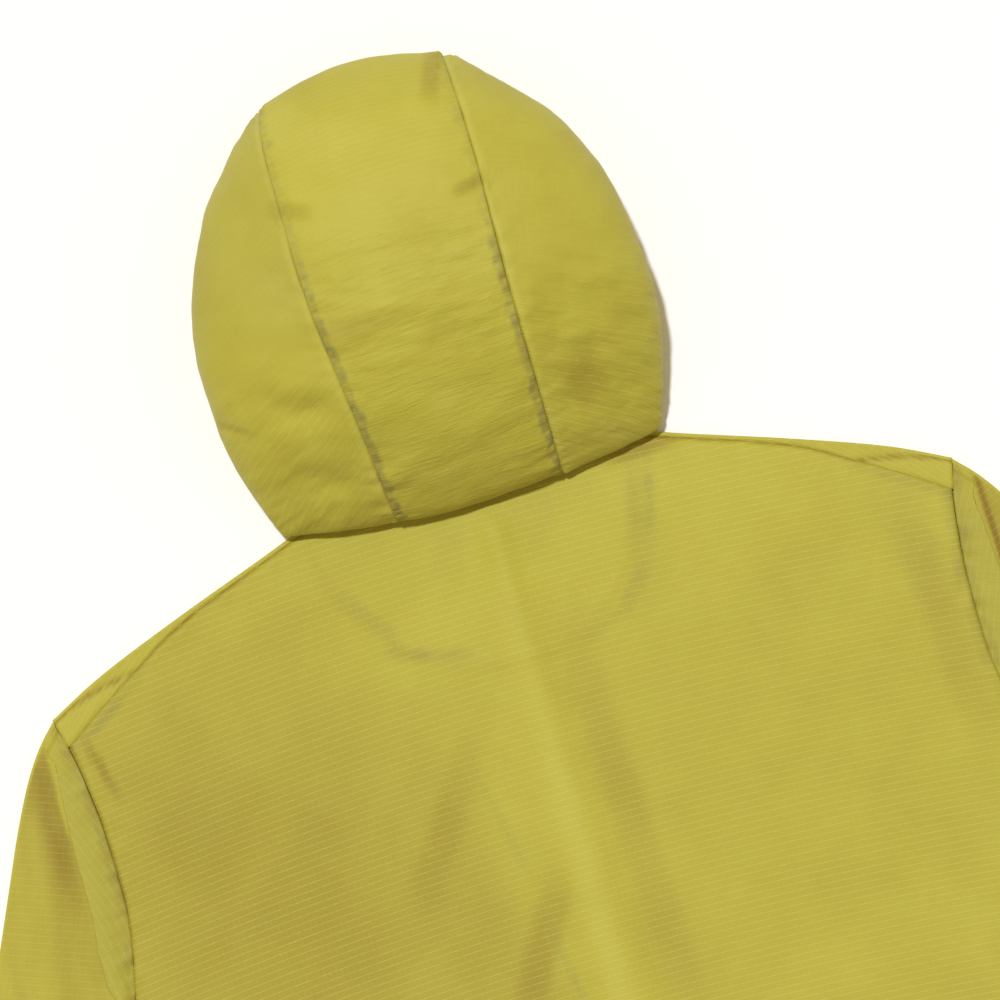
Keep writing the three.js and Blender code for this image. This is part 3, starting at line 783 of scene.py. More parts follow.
@dataclass(frozen=True)
class Weave:
    """Narrow woven polyester, as of a zip's tape: matt, with fine slanted ribs."""

    name: str
    colour: int
    rib: float = 0.9  # mm between ribs
    roughness: float = 0.85

    def make(self) -> bpy.types.Material:
        """Builds the material.

        Returns:
            The material.
        """
        nodes = Nodes(self.name)
        place = nodes.add("ShaderNodeTexCoord", out="Object")
        ribs = nodes.add("ShaderNodeTexWave", {"wave_type": "BANDS", "bands_direction": "DIAGONAL",
                                               "Scale": 0.5 / (self.rib * MM), "Distortion": 0.6,
                                               "Detail": 2.0}, {"Vector": place}, "Fac")
        mixed = nodes.maths("MULTIPLY_ADD", ribs, 0.6, nodes.noise(place, 900.0, 3.0))
        shade = nodes.ranged(mixed, (0.3, 1.2), (0.72, 1.08))
        colour = nodes.blended(1.0, self.colour, shade, "MULTIPLY")
        return nodes.finish(colour, mixed, 0.6, 0.0002,
                            {"Roughness": self.roughness, "Specular IOR Level": 0.25})


@dataclass(frozen=True)
class Moulded:
    """Moulded nylon or acetal: an even colour, a soft gloss, and the faint grain of the mould."""

    name: str
    colour: int
    roughness: float = 0.4
    grain: float = 0.0001
    mottle: float = 0.12

    def make(self) -> bpy.types.Material:
        """Builds the material.

        Returns:
            The material.
        """
        nodes = Nodes(self.name)
        place = nodes.add("ShaderNodeTexCoord", out="Object")
        spots = nodes.noise(place, 420.0, 4.0)
        shade = nodes.ranged(spots, (0.0, 1.0), (1 - self.mottle, 1.0))
        colour = nodes.blended(1.0, self.colour, shade, "MULTIPLY")
        return nodes.finish(colour, spots, 0.3, self.grain,
                            {"Roughness": self.roughness, "Specular IOR Level": 0.5})


class Look(Enum):
    """The finishes of the jacket and of the surface that it lies on."""

    CLOTH = Ripstop()
    TAPE = Weave("polyester_zip_tape", 0xA89F3C)
    RIBBON = Weave("polyester_ribbon", 0xA0963A, rib=1.4)
    THREAD = Weave("polyester_sewing_thread", 0xB4A948, rib=0.5, roughness=0.7)
    TEETH = Moulded("moulded_nylon_coil", 0xB4AA46, roughness=0.35)
    SLIDER = Moulded("moulded_acetal", 0xADA241, roughness=0.4)
    FLOOR = Moulded("matt_white_card", 0xFFFFFF, roughness=0.9, grain=0.00002, mottle=0.01)


def finish_of(look: Look) -> bpy.types.Material:
    """Returns the look's material, made at its first use."""
    return bpy.data.materials.get(look.value.name) or look.value.make()


def meshed(bm: bmesh.types.BMesh, name: str, smooth_faces: bool = False) -> bpy.types.Mesh:
    """Turns a bmesh into a mesh.

    Args:
        bm: The bmesh, which is freed.
        name: The mesh's name.
        smooth_faces: Whether its faces are shaded smooth.

    Returns:
        The mesh.
    """
    mesh = bpy.data.meshes.new(name)
    bm.to_mesh(mesh)
    bm.free()
    if smooth_faces:
        mesh.polygons.foreach_set("use_smooth", np.ones(len(mesh.polygons), bool))
    return mesh


def placed(mesh: bpy.types.Mesh, look: Look, slot: str = "", stands_for: str = "") -> bpy.types.Object:
    """Puts a finished mesh in the scene, as a piece that rides on the jacket.

    Args:
        mesh: The mesh, whose name the piece takes.
        look: Its finish.
        slot: A name that only decides that the piece rides on the jacket; without one the piece isn't part
            of the jacket.
        stands_for: The solid that it replaces, if any.

    Returns:
        The piece.
    """
    obj = bpy.data.objects.new(mesh.name, mesh)
    bpy.context.scene.collection.objects.link(obj)
    mesh.materials.append(finish_of(look))
    if slot:
        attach(obj, ROOT)
    if stands_for:
        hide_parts(stands_for)
    return obj


@dataclass
class Panel:
    """One sewn piece of cloth: a grid of points on its middle surface, in the cutting frame."""

    name: str
    stands_for: str
    points: np.ndarray
    threads: np.ndarray
    tone: np.ndarray
    doubled_and_shade: Optional[np.ndarray] = None
    lines: Optional[np.ndarray] = None
    wrinkle: Optional[np.ndarray] = None
    ring: bool = False
    wall: float = WALL
    rests_on: Sequence[str] = ()
    with_pieces: list[bpy.types.Object] = field(default_factory=list)

    def make(self) -> bpy.types.Object:
        """Returns:
            The piece.
        """
        rows, cols = self.points.shape[:2]
        bm = bmesh.new()
        bmesh.ops.create_grid(bm, x_segments=cols - 1, y_segments=rows - 1, size=1.0)
        mesh = meshed(bm, self.name)
        start = np.empty(len(mesh.vertices) * 3, np.float32)
        mesh.vertices.foreach_get("co", start)
        start = start.reshape(-1, 3)
        j = np.rint((start[:, 0] + 1) / 2 * (cols - 1)).astype(int)
        i = np.rint((start[:, 1] + 1) / 2 * (rows - 1)).astype(int)
        place = to_metres(self.points)[i, j]
        mesh.vertices.foreach_set("co", place.astype(np.float32).ravel())
        corner = np.empty(len(mesh.loops), np.int32)
        mesh.loops.foreach_get("vertex_index", corner)
        layer = mesh.uv_layers.new(name="Cloth")
        layer.uv.foreach_set("vector", self.threads[i, j][corner].astype(np.float32).ravel())
        plain = np.zeros((rows, cols))
        painted = {"tone": self.tone, "doubled_and_shade": plain if self.doubled_and_shade is None else self.doubled_and_shade,
                   "lines": plain + 1 if self.lines is None else self.lines,
                   "wrinkle": plain + 0.12 if self.wrinkle is None else self.wrinkle}
        for name, values in painted.items():
            paint = mesh.attributes.new(name, "FLOAT", "POINT")
            paint.data.foreach_set("value", values[i, j].astype(np.float32))
        mesh.polygons.foreach_set("use_smooth", np.ones(len(mesh.polygons), bool))
        if self.ring:
            bm = bmesh.new()
            bm.from_mesh(mesh)
            bmesh.ops.remove_doubles(bm, verts=bm.verts, dist=1e-6)
            bm.to_mesh(mesh)
            bm.free()
        mesh.update()
        obj = placed(mesh, Look.CLOTH, "ripstop", self.stands_for)
        solid = obj.modifiers.new("wall", "SOLIDIFY")
        solid.thickness = self.wall * MM
        solid.offset = 0.0
        return obj


@dataclass
class Stitching:
    """Rows of small thread stitches that lie on the cloth."""

    name: str
    length: float = 2.5
    pitch: float = 3.5
    thick: float = 0.32

    def make(self, lines: Sequence[np.ndarray]) -> bpy.types.Object:
        """Lays stitches along lines.

        Args:
            lines: Polylines in the cutting frame, on the cloth's face.

        Returns:
            The piece that holds all the stitches.
        """
        bm = bmesh.new()
        for line in lines:
            along = arc(line, 0)
            count = int(along[-1] // self.pitch)
            for k in range(count):
                ends = [np.array([np.interp(k * self.pitch + d, along, line[:, c]) for c in range(3)])
                        for d in (0.4, 0.4 + self.length)]
                self.stitch(bm, *ends)
        mesh = meshed(bm, self.name, smooth_faces=True)
        obj = placed(mesh, Look.THREAD, "ripstop")
        log.info("%s: %d faces", self.name, len(mesh.polygons))
        return obj

    def stitch(self, bm: bmesh.types.BMesh, start: np.ndarray, end: np.ndarray) -> None:
        """Adds one stitch, a small long bead.

        Args:
            bm: Where it goes.
            start: Its first end, in the cutting frame.
            end: Its other end.
        """
        a, b = Vector(to_metres(start)), Vector(to_metres(end))
        run = b - a
        turn = run.to_track_quat("X", "Z").to_matrix().to_4x4()
        size = Matrix.Diagonal((run.length / 2, self.thick * MM / 2, self.thick * MM / 2, 1))
        bmesh.ops.create_icosphere(bm, subdivisions=1, radius=1.0,
                                   matrix=Matrix.Translation((a + b) / 2) @ turn @ size)


def front_neck_away(x: Values, y: Values) -> Values:
    """Measures from the front neck seam, seen in plan.

    Args:
        x: Place across, in millimetres.
        y: Place along, in millimetres.

    Returns:
        Signed millimetres, positive outside the seam.
    """
    reach = np.where(x > ZIP_X, NECK_X - 0.8 - ZIP_X - ZIP_EDGE, NECK_X - 0.8 + ZIP_X + ZIP_EDGE)
    deep = NECK_Y - NECK_FRONT_Y
    a, b = (x - ZIP_X) / reach, (y - NECK_Y) / deep
    q = np.sqrt(a * a + b * b) + 1e-9
    return (q - 1) * q / np.sqrt((a / reach) ** 2 + (b / deep) ** 2 + 1e-12)


def seam_dip(away: Values, width: float = 0.9, deep: float = 0.7) -> Values:
    """Trough of a sewn edge."""
    return -deep * bell(away / width)


def puckers(noise: Noise, away: Values, along: Values, high: float, pitch: float = 8.0,
            reach: float = 7.0) -> Values:
    """Small uneven ripples that a sewn edge draws into the cloth beside it."""
    wave = noise.layers(along / pitch, away / (3 * reach) + 3.3, 1.0, count=2)
    return high * wave * np.exp(-((away / reach) ** 2)) * smooth(np.abs(away) / 0.8)


@dataclass(frozen=True)
class Crumple:
    """How far thin cloth departs from a smooth lie."""

    broad: float = 0.55  # mm, over about a hand's width
    broad_size: float = 85.0
    soft: float = 0.3
    soft_size: float = 24.0
    fine: float = 0.085
    fine_size: float = 6.0

    def height(self, noise: Noise, u: Values, v: Values, turn: float = 90.0) -> Values:
        """Works out the relief of the cloth.

        Args:
            noise: The relief that it reads.
            u: Thread place across, in millimetres.
            v: Thread place along, in millimetres.
            turn: Heading of the folds' long way, in degrees.

        Returns:
            Millimetres.
        """
        return (self.broad * noise.layers(u, v, self.broad_size, 2, 1.6, turn)
                + self.soft * noise.layers(u + 311, v, self.soft_size, 2, 1.8, turn)
                + self.fine * noise.layers(u, v + 173, self.fine_size, 3, 1.5, turn))


class Body:
    """The back, and the fronts that come over the shoulders to it."""

    SEAM_END_Y = float(fold_y(SHOULDER_X) - wrap_at(SHOULDER_X))
    BOW = 0.00025  # curve of the crosswise threads of the back, per mm
    HEM_DEEP = 20.0  # turned hem
    BACK_COLS = 211
    CLOSER_Y = -345.0  # above it the back's rows lie closer
    BACK_LOW = 1.5  # lowest height of the back's middle surface
    ARM_SHARE = 0.34  # of the armhole's depth, where the front's lower rows end
    CREASES = (
        Crease(-41, -76, -31, -150, -0.7, 5, bend=2),
        Crease(-24, -140, -29, -205, -0.9, 6),
        Crease(-222, -20, -229, -50, -0.5, 3),
        Crease(60, -60, 120, -130, 0.5, 12),
        Crease(150, -20, 205, -90, 0.6, 14, bend=-6),
        Crease(-130, -30, -190, -110, 0.5, 13, bend=5),
        Crease(-214, -240, -120, -300, -1.3, 12, bend=8),
        Crease(40, -300, 70, -420, 1.3, 14, bend=6),
        Crease(-30, -330, -70, -450, -1.1, 13, bend=-7),
        Crease(190, -420, 120, -520, -1.3, 15, bend=8),
        Crease(-230, -430, -200, -560, 1.2, 15),
        Crease(20, -500, 34, -640, -1.0, 14, open_end=True),
    )
    # Painted shade: in tucks and folds beside the ridge and at the shoulders, over the left side, and the
    # shadow that the hood casts at the right of the nape (90, 51).
    SHADES = (
        Patch(-60, -106, 40, 9, 56, -0.17), Patch(-32, -184, 36, 9, 60, -0.26),
        Patch(-60, -170, 90, 26, -80, -0.14), Patch(32, -150, 80, 10, -88, -0.16),
        Patch(-226, -30, 16, 2.6, -75, -0.4), Patch(-150, -150, 120, 60, -80, -0.12),
        Patch(-190, -60, 40, 24, -70, -0.06), Patch(216, -80, 60, 10, -86, -0.16),
        Patch(90, 51, 20, 4.5, 3, -0.5),
    )
    LAYERS = (
        Patch(-71, 6, 17, 4, -55, 0.34), Patch(-44, -22, 20, 3.2, -15, 0.42),
        Patch(-62, -14, 6, 4, -30, 0.22), Patch(80, 20, 26, 8, 76, 0.26),
        Patch(88, 30, 22, 2.2, 78, 0.2), Patch(66, -18, 15, 4, 48, 0.3), Patch(46, -32, 12, 3, 22, 0.16),
        Patch(30, 36, 26, 12, 70, 0.12), Patch(-20, 34, 18, 10, 80, 0.12),
        Patch(-217, -6, 15, 2.6, 34, 0.34), Patch(-238, -50, 20, 2.4, -80, 0.2),
        Patch(222, -8, 20, 2.4, -34, 0.16), Patch(214, -34, 44, 16, -76, 0.14),
        Patch(-35, -113, 34, 2.5, -78, 0.16), Patch(-22, -196, 24, 2.2, -82, 0.3),
    )
    RIDGE_SHIFT = -1.0  # the cloth's ridge leans a little to the left of the zip below it
    PALE_SHIFT = -4.0  # its flank nearer the light, where a highlight is painted
    TUCK_X = 194.0  # where the fold's own crease starts at the shoulder seam

    def __init__(self) -> None:
        """Seeds the relief."""
        self.noise = Noise(11)
        self.crumple = Crumple()

    def top_edge(self, x: Values) -> Values:
        """Traces the upper edge of the back: the neck seam, then the shoulder seams.

        Args:
            x: Place across.

        Returns:
            Y of the edge.
        """
        corner = fold_y(NECK_CORNER_X) - wrap_at(NECK_CORNER_X)
        neck = mix(NECK_BACK_Y, corner, np.square(np.minimum(np.abs(x) / NECK_CORNER_X, 1)))
        return np.where(np.abs(x) < NECK_CORNER_X, neck, fold_y(x) - wrap_at(x))

    def back(self) -> Panel:
        """Shapes the back, in one piece from the neck to the hem.

        Returns:
            The panel.
        """
        end_x = float(side_x(self.SEAM_END_Y)) - GAP
        x_top = np.linspace(-end_x, end_x, self.BACK_COLS)
        y_top = self.top_edge(x_top) - 2 * GAP
        edge_y = np.r_[np.linspace(HEM_Y, self.CLOSER_Y, 60)[:-1],
                       np.linspace(self.CLOSER_Y, self.SEAM_END_Y, 143)]
        w = ((edge_y - HEM_Y) / (self.SEAM_END_Y - HEM_Y))[:, None]
        x = x_top[None, :] * ((side_x(edge_y) - GAP) / end_x)[:, None]
        y = mix(HEM_Y, y_top[None, :], w)
        z = back_z(x, y) - 0.9 * bell((x - ZIP_X) / 9) + 0.9 * bell((x - ZIP_X - self.RIDGE_SHIFT) / 10)
        threads = np.stack([x, y + self.BOW * x * x], -1)
        neck = front_neck_away(x, y)
        side_away, top_away = side_x(y) - np.abs(x), self.top_edge(x) - y
        hem_away = y - HEM_Y
        relief = self.crumple.height(self.noise, x, y) + creases(self.CREASES, x, y)
        relief = relief + 0.3 * bell(neck / 3.2) * smooth((50 - y) / 20)
        relief = relief * smooth(side_away / 14) * smooth(top_away / 10)
        relief = relief * mix(0.3, 1, smooth(hem_away / 30))
        for away, along in ((side_away, y), (top_away, x)):
            relief = relief + seam_dip(away, 0.8, 0.4) + puckers(self.noise, away, along + 500, 0.7)
        relief = relief + puckers(self.noise, hem_away, x + 900, 0.8, 11, 22) * 0.6
        relief = relief + 0.25 * bell((hem_away - self.HEM_DEEP) / 1.2)
        z = np.maximum(z + relief, self.BACK_LOW)
        broken = 0.5 + 0.5 * self.noise.layers(x, y, 26, 2)
        tone = -0.1 * bell(neck / 3) * smooth((56 - y) / 15) * broken + patches(self.SHADES, x, y)
        # Painted shade, darker towards the left side, and random tone.
        tone = tone - 0.16 * smooth((-x - 10) / 130) + 0.05 * self.noise.layers(x, y, 70, 3)
        tone = tone - 0.3 * smooth(self.HEM_DEEP - hem_away) - 0.1 * smooth((20 - y) / 100)
        # Painted shade in the grooves of the neck, shoulder and side seams, broken up at random; the same
        # unevenness varies the seam allowance below.
        unevenness = 0.6 + 0.6 * self.noise.layers(x + 60, y, 16, 2)
        plain = mix(1.0, 0.15, smooth((np.abs(x) - self.TUCK_X) / 5))
        soft = np.where(x > 0, 0.35, 1.0)
        tone = tone - 0.4 * bell(top_away / 1.2) * unevenness * plain - 0.35 * soft * bell(side_away / 1.2) * unevenness
        # Painted highlight along the ridge's flank nearer the light, over the zip, and painted shade on its
        # far flank.
        low = smooth(-y / 200)
        ridge = (x - ZIP_X - self.PALE_SHIFT) / mix(7, 11, low)
        tone = tone + mix(0.14, 0.22, low) * bell(ridge) * smooth((20 - y) / 30)
        tone = tone - 0.12 * bell((x - 31) / 12) * smooth((-y - 10) / 30) * smooth((y + 150) / 50)
        doubled_and_shade = patches(self.LAYERS, x, y) * (0.75 + 0.4 * self.noise.layers(x, y + 80, 9, 2))
        doubled_and_shade = doubled_and_shade + 0.34 * bell((side_away - 3) / 3) * smooth((x - 100) / 50) * unevenness
        doubled_and_shade = np.clip(doubled_and_shade + 0.2 * bell((top_away - 3) / 3) * smooth((np.abs(x) - 180) / 20), 0, 1)
        return Panel("back_cloth", "back", np.stack([x, y, z], -1), threads, tone, doubled_and_shade,
                     rests_on=("front_left_cloth", "front_right_cloth", "zip_chain_coil"))

    def shoulder_seam(self, s: Values) -> tuple[Values, Values]:
        """Plan of the shoulder seam from the neck (s = 0) to the armhole (s = 1)."""
        x = mix(NECK_CORNER_X, float(side_x(self.SEAM_END_Y)) - GAP, s)
        return x, fold_y(x) - wrap_at(x)

    def front(self, side: int) -> Panel:
        """Shapes a front: flat on the surface, round the shoulder fold, and over to its seam.

        Args:
            side: 1 for the right front, -1 for the left one.

        Returns:
            The panel.
        """
        s = np.linspace(0, 1, 91)
        rim = side * ZIP_X + ZIP_EDGE
        end = SHOULDER_X - GAP
        bow = fold_y(mix(NECK_CORNER_X, end, s)) - mix(fold_y(NECK_CORNER_X), fold_y(end), s)
        rows, arm_y = [], UNDERARM[1] * (1 - self.ARM_SHARE)
        for t in np.r_[np.linspace(0, 1, 22)[:-1], np.linspace(1, 2, 13)]:
            if t <= 1:
                left = (rim, mix(HEM_Y, NECK_FRONT_Y, t ** 0.8))
                right_y = mix(HEM_Y, arm_y, t)
                settle = 0.0
            else:
                turn = (2 - t) * math.pi / 2
                left = (mix(NECK_X - 0.8, rim, 1 - math.cos(turn)),
                        mix(NECK_Y, NECK_FRONT_Y, math.sin(turn)) - 0.3)
                if t > 1.999:
                    left = (NECK_CORNER_X, float(fold_y(NECK_CORNER_X)) - FOLD_R)
                right_y = mix(arm_y, -FOLD_R, t - 1)
                settle = (t - 1) ** 3
            x = mix(left[0], float(side_x(right_y)) - GAP, s)
            y = mix(left[1], right_y, s) + settle * bow
            rows.append(np.stack([x, y, np.full_like(s, FLOOR)], -1))
        fold_x = mix(NECK_CORNER_X, end, s)
        seam_x, seam_y = self.shoulder_seam(s)
        wrap = wrap_at(fold_x)
        high = back_z(seam_x, seam_y)
        insets = [(FOLD_R * (1 - math.sin(a)), (1 - math.cos(a)) / 2)
                  for a in np.radians([15, 35, 55, 75, 90, 105, 125, 145, 165, 180])]
        insets += [(mix(FOLD_R, wrap, share), 1.0) for share in np.linspace(0, 1, 9)[1:]]
        for inset, rise in insets:
            share = inset / wrap
            x = mix(fold_x, seam_x, share)
            y = mix(fold_y(fold_x) - inset, seam_y, smooth(share * 2 - 1))
            rows.append(np.stack([x, y, mix(FLOOR, high, rise)], -1))
        p = np.array(rows)
        over = np.zeros(p.shape[:2])
        over[-9:] = 1.0
        away = fold_y(p[..., 0]) - wrap_at(p[..., 0]) - p[..., 1]
        seam = seam_dip(away, 0.8, 0.4) + puckers(self.noise, away, p[..., 0] + 77, 0.6, 7.5)
        bumps = self.crumple.height(self.noise, p[..., 0] * side + 40, p[..., 1]) * 0.5
        p[..., 2] += over * (seam + bumps * smooth(np.abs(away) / 3))
        outwards = np.clip((p[..., 0] - self.TUCK_X) / (SHOULDER_X - self.TUCK_X), 0, 1)
        inner = fold_y(p[..., 0]) - p[..., 1] - 9.4 * (1 - outwards) ** 1.2 - 0.6
        line = bell(inner / 1.4) * smooth((p[..., 0] - self.TUCK_X) / 5)
        faint = mix(1.0, 0.15, smooth((p[..., 0] - self.TUCK_X) / 5))
        p[..., 2] -= over * 0.8 * line
        rough = 0.7 + 0.6 * self.noise.layers(p[..., 0] * side, p[..., 1], 5, 2)
        # Painted shade in the shoulder seam's groove and in the fold's crease, and the whole wrap a little
        # darker.
        tone = over * (-0.4 * bell(away / 1.2) * faint - 0.04 - 0.75 * line * rough)
        flat = p[..., :2].copy()
        mirrored = 2 * fold_y(p[..., 0]) - p[..., 1]
        flat[..., 1] = np.where(over > 0, mirrored, p[..., 1])
        p[..., 0] *= side
        name = SIDES[side]
        return Panel(f"front_{name}_cloth", f"front_{name}", p, turned(flat, 4.0), tone,
                     rests_on=("floor",))


class Sleeve:
    """A sleeve, pressed flat and turned down, with a flat pleat along the armhole."""

    TOP, ROLL, UNDER = 121, 7, 36
    HEADING = 20.6  # degrees that the crosswise threads rise outwards
    STRIP_HEADING = 70.0
    PLEAT_HIGH = 2.4  # mm from the base to the middle surface at the pleat's edge
    BACK_UNDER = 4.5  # mm that the cloth goes back below the pleat's edge
    FAR_ROWS = 77
    CUFF_DEEP = 15.0
    FOLD_ROW = 9.0
    CREASES = {
        1: (Crease(251, -6, 266, -60, -0.9, 4, bend=-3), Crease(247, -11, 246, -40, -0.6, 3),
            Crease(246, -35, 241, -80, -0.5, 4), Crease(300, -150, 345, -300, 1.3, 12, bend=8),
            Crease(280, -250, 340, -360, -1.5, 10, bend=-6), Crease(370, -330, 430, -480, 1.4, 13),
            Crease(310, -400, 400, -520, -1.2, 11, bend=7), Crease(420, -480, 470, -590, 1.2, 12)),
        -1: (Crease(-280, -70, -268, -175, -1.1, 9, bend=-5), Crease(-300, -120, -300, -210, 0.8, 10),
             Crease(-320, -190, -350, -320, 1.4, 13, bend=7), Crease(-285, -270, -330, -380, -1.4, 10),
             Crease(-390, -350, -425, -470, 1.3, 13, bend=-8), Crease(-330, -430, -410, -540, -1.3, 11),
             Crease(-440, -500, -470, -590, 1.1, 11)),
    }

    def __init__(self, side: int) -> None:
        """Traces the edges and seeds the relief.

        Args:
            side: 1 for the right sleeve, -1 for the left one.
        """
        self.side = side
        self.outer, self.inner = Curve(SLEEVE_OUTER), Curve(SLEEVE_INNER)
        self.noise = Noise(23 if side > 0 else 29)
        self.crumple = Crumple(broad=0.7, soft=0.4)

    def listed(self, row: Values, *columns: int) -> tuple[np.ndarray, ...]:
        """Values of the list's columns at a row of it, in straight steps."""
        n = np.arange(len(SLEEVE_ROWS))
        return tuple(np.interp(row, n, SLEEVE_ROWS[:, c]) for c in columns)

    def edges(self, row: Values) -> tuple[np.ndarray, ...]:
        """Shares of the outer and the inner edge at a row of the list."""
        return self.listed(row, 0, 1)

    def plan(self, row: Values, v: Values) -> tuple[np.ndarray, np.ndarray]:
        """Finds places of the top layer in plan.

        Args:
            row: Position counted in rows of the list.
            v: Share from the outer to the inner edge.

        Returns:
            X and Y.
        """
        bulge, bow = self.listed(row, 2, 3)
        so, si = self.edges(row)
        o, i = self.outer.at(so), self.inner.at(si)
        bend = side_x(UNDERARM[1] * v) - mix(SHOULDER_X, UNDERARM[0], v)
        x = mix(o[..., 0], i[..., 0], v) + bow * bend + bulge * smooth(v / 0.5) * smooth((1 - v) / 0.08)
        return x + GAP, mix(o[..., 1], i[..., 1], v)

    def rows(self, v: np.ndarray) -> tuple[np.ndarray, np.ndarray, np.ndarray]:
        """Rows of the top layer with the pleat folded in.

        Args:
            v: Shares from the outer to the inner edge.

        Returns:
            The row of the list, the height over the base and the share of the strip, for each
            grid row and each v.
        """
        fine = np.linspace(0, self.FOLD_ROW, 600)
        x, y = self.plan(fine[:, None], v[None, :])
        away = x - side_x(y)
        arm_y = UNDERARM[1] * v
        wide = hermite(arm_y, PLEAT)
        steps = [("strip", t) for t in np.linspace(0, 1, 15)]
        steps += [("edge", t) for t in np.linspace(0, 1, 7)[1:]]
        steps += [("under", t) for t in np.linspace(0, 1, 4)[1:]]
        steps += [("turn", t) for t in np.linspace(0, 1, 7)[1:]]
        steps += [("out", t) for t in np.linspace(0, 1, 31)[1:]]
        last = away[-1]
        row, high, strip = [], [], []
        for kind, t in steps:
            edge, back = wide - 0.5, wide - 0.5 - self.BACK_UNDER
            rise = self.PLEAT_HIGH
            if kind == "strip":
                d = edge * t
                h = mix(0.3, self.PLEAT_HIGH, smooth(t * 1.1)) - 0.45 * bell((t - 0.35) / 0.22)
            elif kind == "edge":
                d, h = edge + 0.5 * math.sin(math.pi * t), rise - 0.5 * (1 - math.cos(math.pi * t))
            elif kind == "under":
                d, h = mix(edge, back, t), rise - 1.0 - 0.1 * t
            elif kind == "turn":
                d, h = back - 0.35 * math.sin(math.pi * t), rise - 1.1 - 0.35 * (1 - math.cos(math.pi * t))
            else:
                d = mix(back, last, t ** 1.25)
                h = mix(rise - 1.8, 0.9, smooth((d - wide - 2) / 22)) - 0.75 * bell((d - wide - 5) / 6)
            d = d + 0 * v
            row.append([np.interp(d[k], away[:, k], fine) for k in range(len(v))])
            high.append(h + 0 * v)
            strip.append(np.full_like(v, 1.0 if kind in ("strip", "edge") else 0.0))
        fold = np.array(row)
        plain = np.linspace(0, self.FOLD_ROW, len(steps))[:, None] + 0 * v
        amount = smooth((-arm_y - 3) / 22) * (1 - smooth((-arm_y - 128) / 40))
        row = mix(plain, fold, amount)
        px, py = self.plan(plain, v[None, :])
        past = (px - side_x(py)) / hermite(py, PLEAT)
        calm = np.interp(past, PLEAT_PROFILE[:, 0], PLEAT_PROFILE[:, 1])
        high = mix(calm, np.array(high), amount)
        t_far = np.linspace(0, 1, self.FAR_ROWS + 1)[1:]
        far = self.FOLD_ROW + (len(SLEEVE_ROWS) - 1 - self.FOLD_ROW) * t_far ** 1.05
        bow, rise = (values[:, None] for values in self.listed(far, 3, 4))
        fx, fy = self.plan(far[:, None], v[None, :])
        past = (fx - side_x(fy)) / hermite(fy, PLEAT)
        far_high = mix(rise, np.interp(past, PLEAT_PROFILE[:, 0], PLEAT_PROFILE[:, 1]), bow)
        far_high = mix(high[-1:], far_high, smooth(t_far[:, None] * 5))
        row = np.vstack([row, far[:, None] + 0 * v])
        high = np.vstack([high, far_high])
        strip = np.vstack([np.array(strip) * amount, np.zeros((self.FAR_ROWS, len(v)))])
        return row, high, strip

    def panel(self) -> Panel:
        """Shapes the sleeve as a ring of cloth from the armhole to the cuff.

        Returns:
            The panel.
        """
        side = self.side
        v = np.linspace(0, 1, self.TOP + 2)[1:-1]
        v_ends = np.r_[0, v, 1]
        row, high, strip = self.rows(v_ends)
        x, y = self.plan(row, v_ends[None, :])
        base = mix(SLEEVE_HIGH[0], SLEEVE_HIGH[1], v_ends)
        z = base + high * np.sin(np.pi * v_ends) ** 0.7
        sx = side * x
        away = x - side_x(y)
        level = smooth(np.minimum(v_ends, 1 - v_ends) / 0.04) * (1 - smooth(away / 6))
        z = mix(z, back_z(sx, y), level)
        relief = self.crumple.height(self.noise, sx, y, -70 * side) * (1 - 0.6 * strip)
        relief = relief + creases(self.CREASES[side], sx, y)
        relief = relief * smooth(np.minimum(v_ends, 1 - v_ends) / 0.06) * smooth(away / 8)
        relief = relief + seam_dip(away, 0.8, 0.4) + puckers(self.noise, away, y + 300, 1.1, 6.5, 9.0)
        out_share = self.edges(row)[0]
        cuff = (1 - out_share) * self.outer.along[-1]
        relief = relief + puckers(self.noise, cuff, (x + y) + 150, 0.7, 9, 16)
        z = np.maximum(z + relief * np.sin(np.pi * v_ends) ** 0.5, 1.2)
        unevenness = 0.6 + 0.6 * self.noise.layers(sx + 60, y, 14, 2)
        wide = hermite(y, PLEAT)
        shown = smooth((-y - 3) / 20) * (1 - smooth((-y - 150) / 60))
        # Painted shade in the valley past the pleat's edge, deepest high up on the left sleeve.
        valley = bell((away - wide - 7) / 8) * (away > wide) * shown
        # Painted shade in the armhole seam's groove, weaker on the right, and all but the strip a little
        # darker.
        tone = -0.35 * bell(away / 1.3) * unevenness * (0.4 if side > 0 else 1.0) - 0.12 * (1 - strip)
        high_up = smooth((y + 115) / 50)
        tone = tone - mix(0.06, 0.42 if side < 0 else 0.16, high_up) * valley * (1 - strip)
        # Painted shade in the puckers on the sleeve's side of the armhole.
        ripple = self.noise.layers((y + 300) / 6.5, away / 27 + 3.3, 1.0, 2)
        tone = tone - 0.5 * np.clip(ripple, 0, 1) * np.exp(-((away / 7) ** 2))
        tone = tone + 0.1 * self.noise.layers(sx + 20, y, 12, 3, 4.0, -78 * side) * (1 - strip)
        tone = tone - 0.12 * smooth((away - wide) / 4) * smooth(1 - (away - wide) / 60)
        # Painted shadow under the pleat's edge, strong on the right sleeve.
        under = bell((away - wide - 1.5) / 1.8) * smooth((y + 72) / 16) * smooth((-y - 6) / 10)
        tone = tone - (0.8 if side > 0 else 0.2) * under * (1 - strip)
        doubled_and_shade = 0.24 * strip + 0.3 * bell((away - 2.5) / 2.2) * unevenness
        tone = tone - 0.3 * smooth(self.CUFF_DEEP - cuff)
        flat = turned(np.stack([x, y], -1), self.HEADING)
        local = turned(np.stack([away, y], -1), self.STRIP_HEADING)
        flat = np.where(strip[..., None] > 0.02, local, flat)
        ring = []

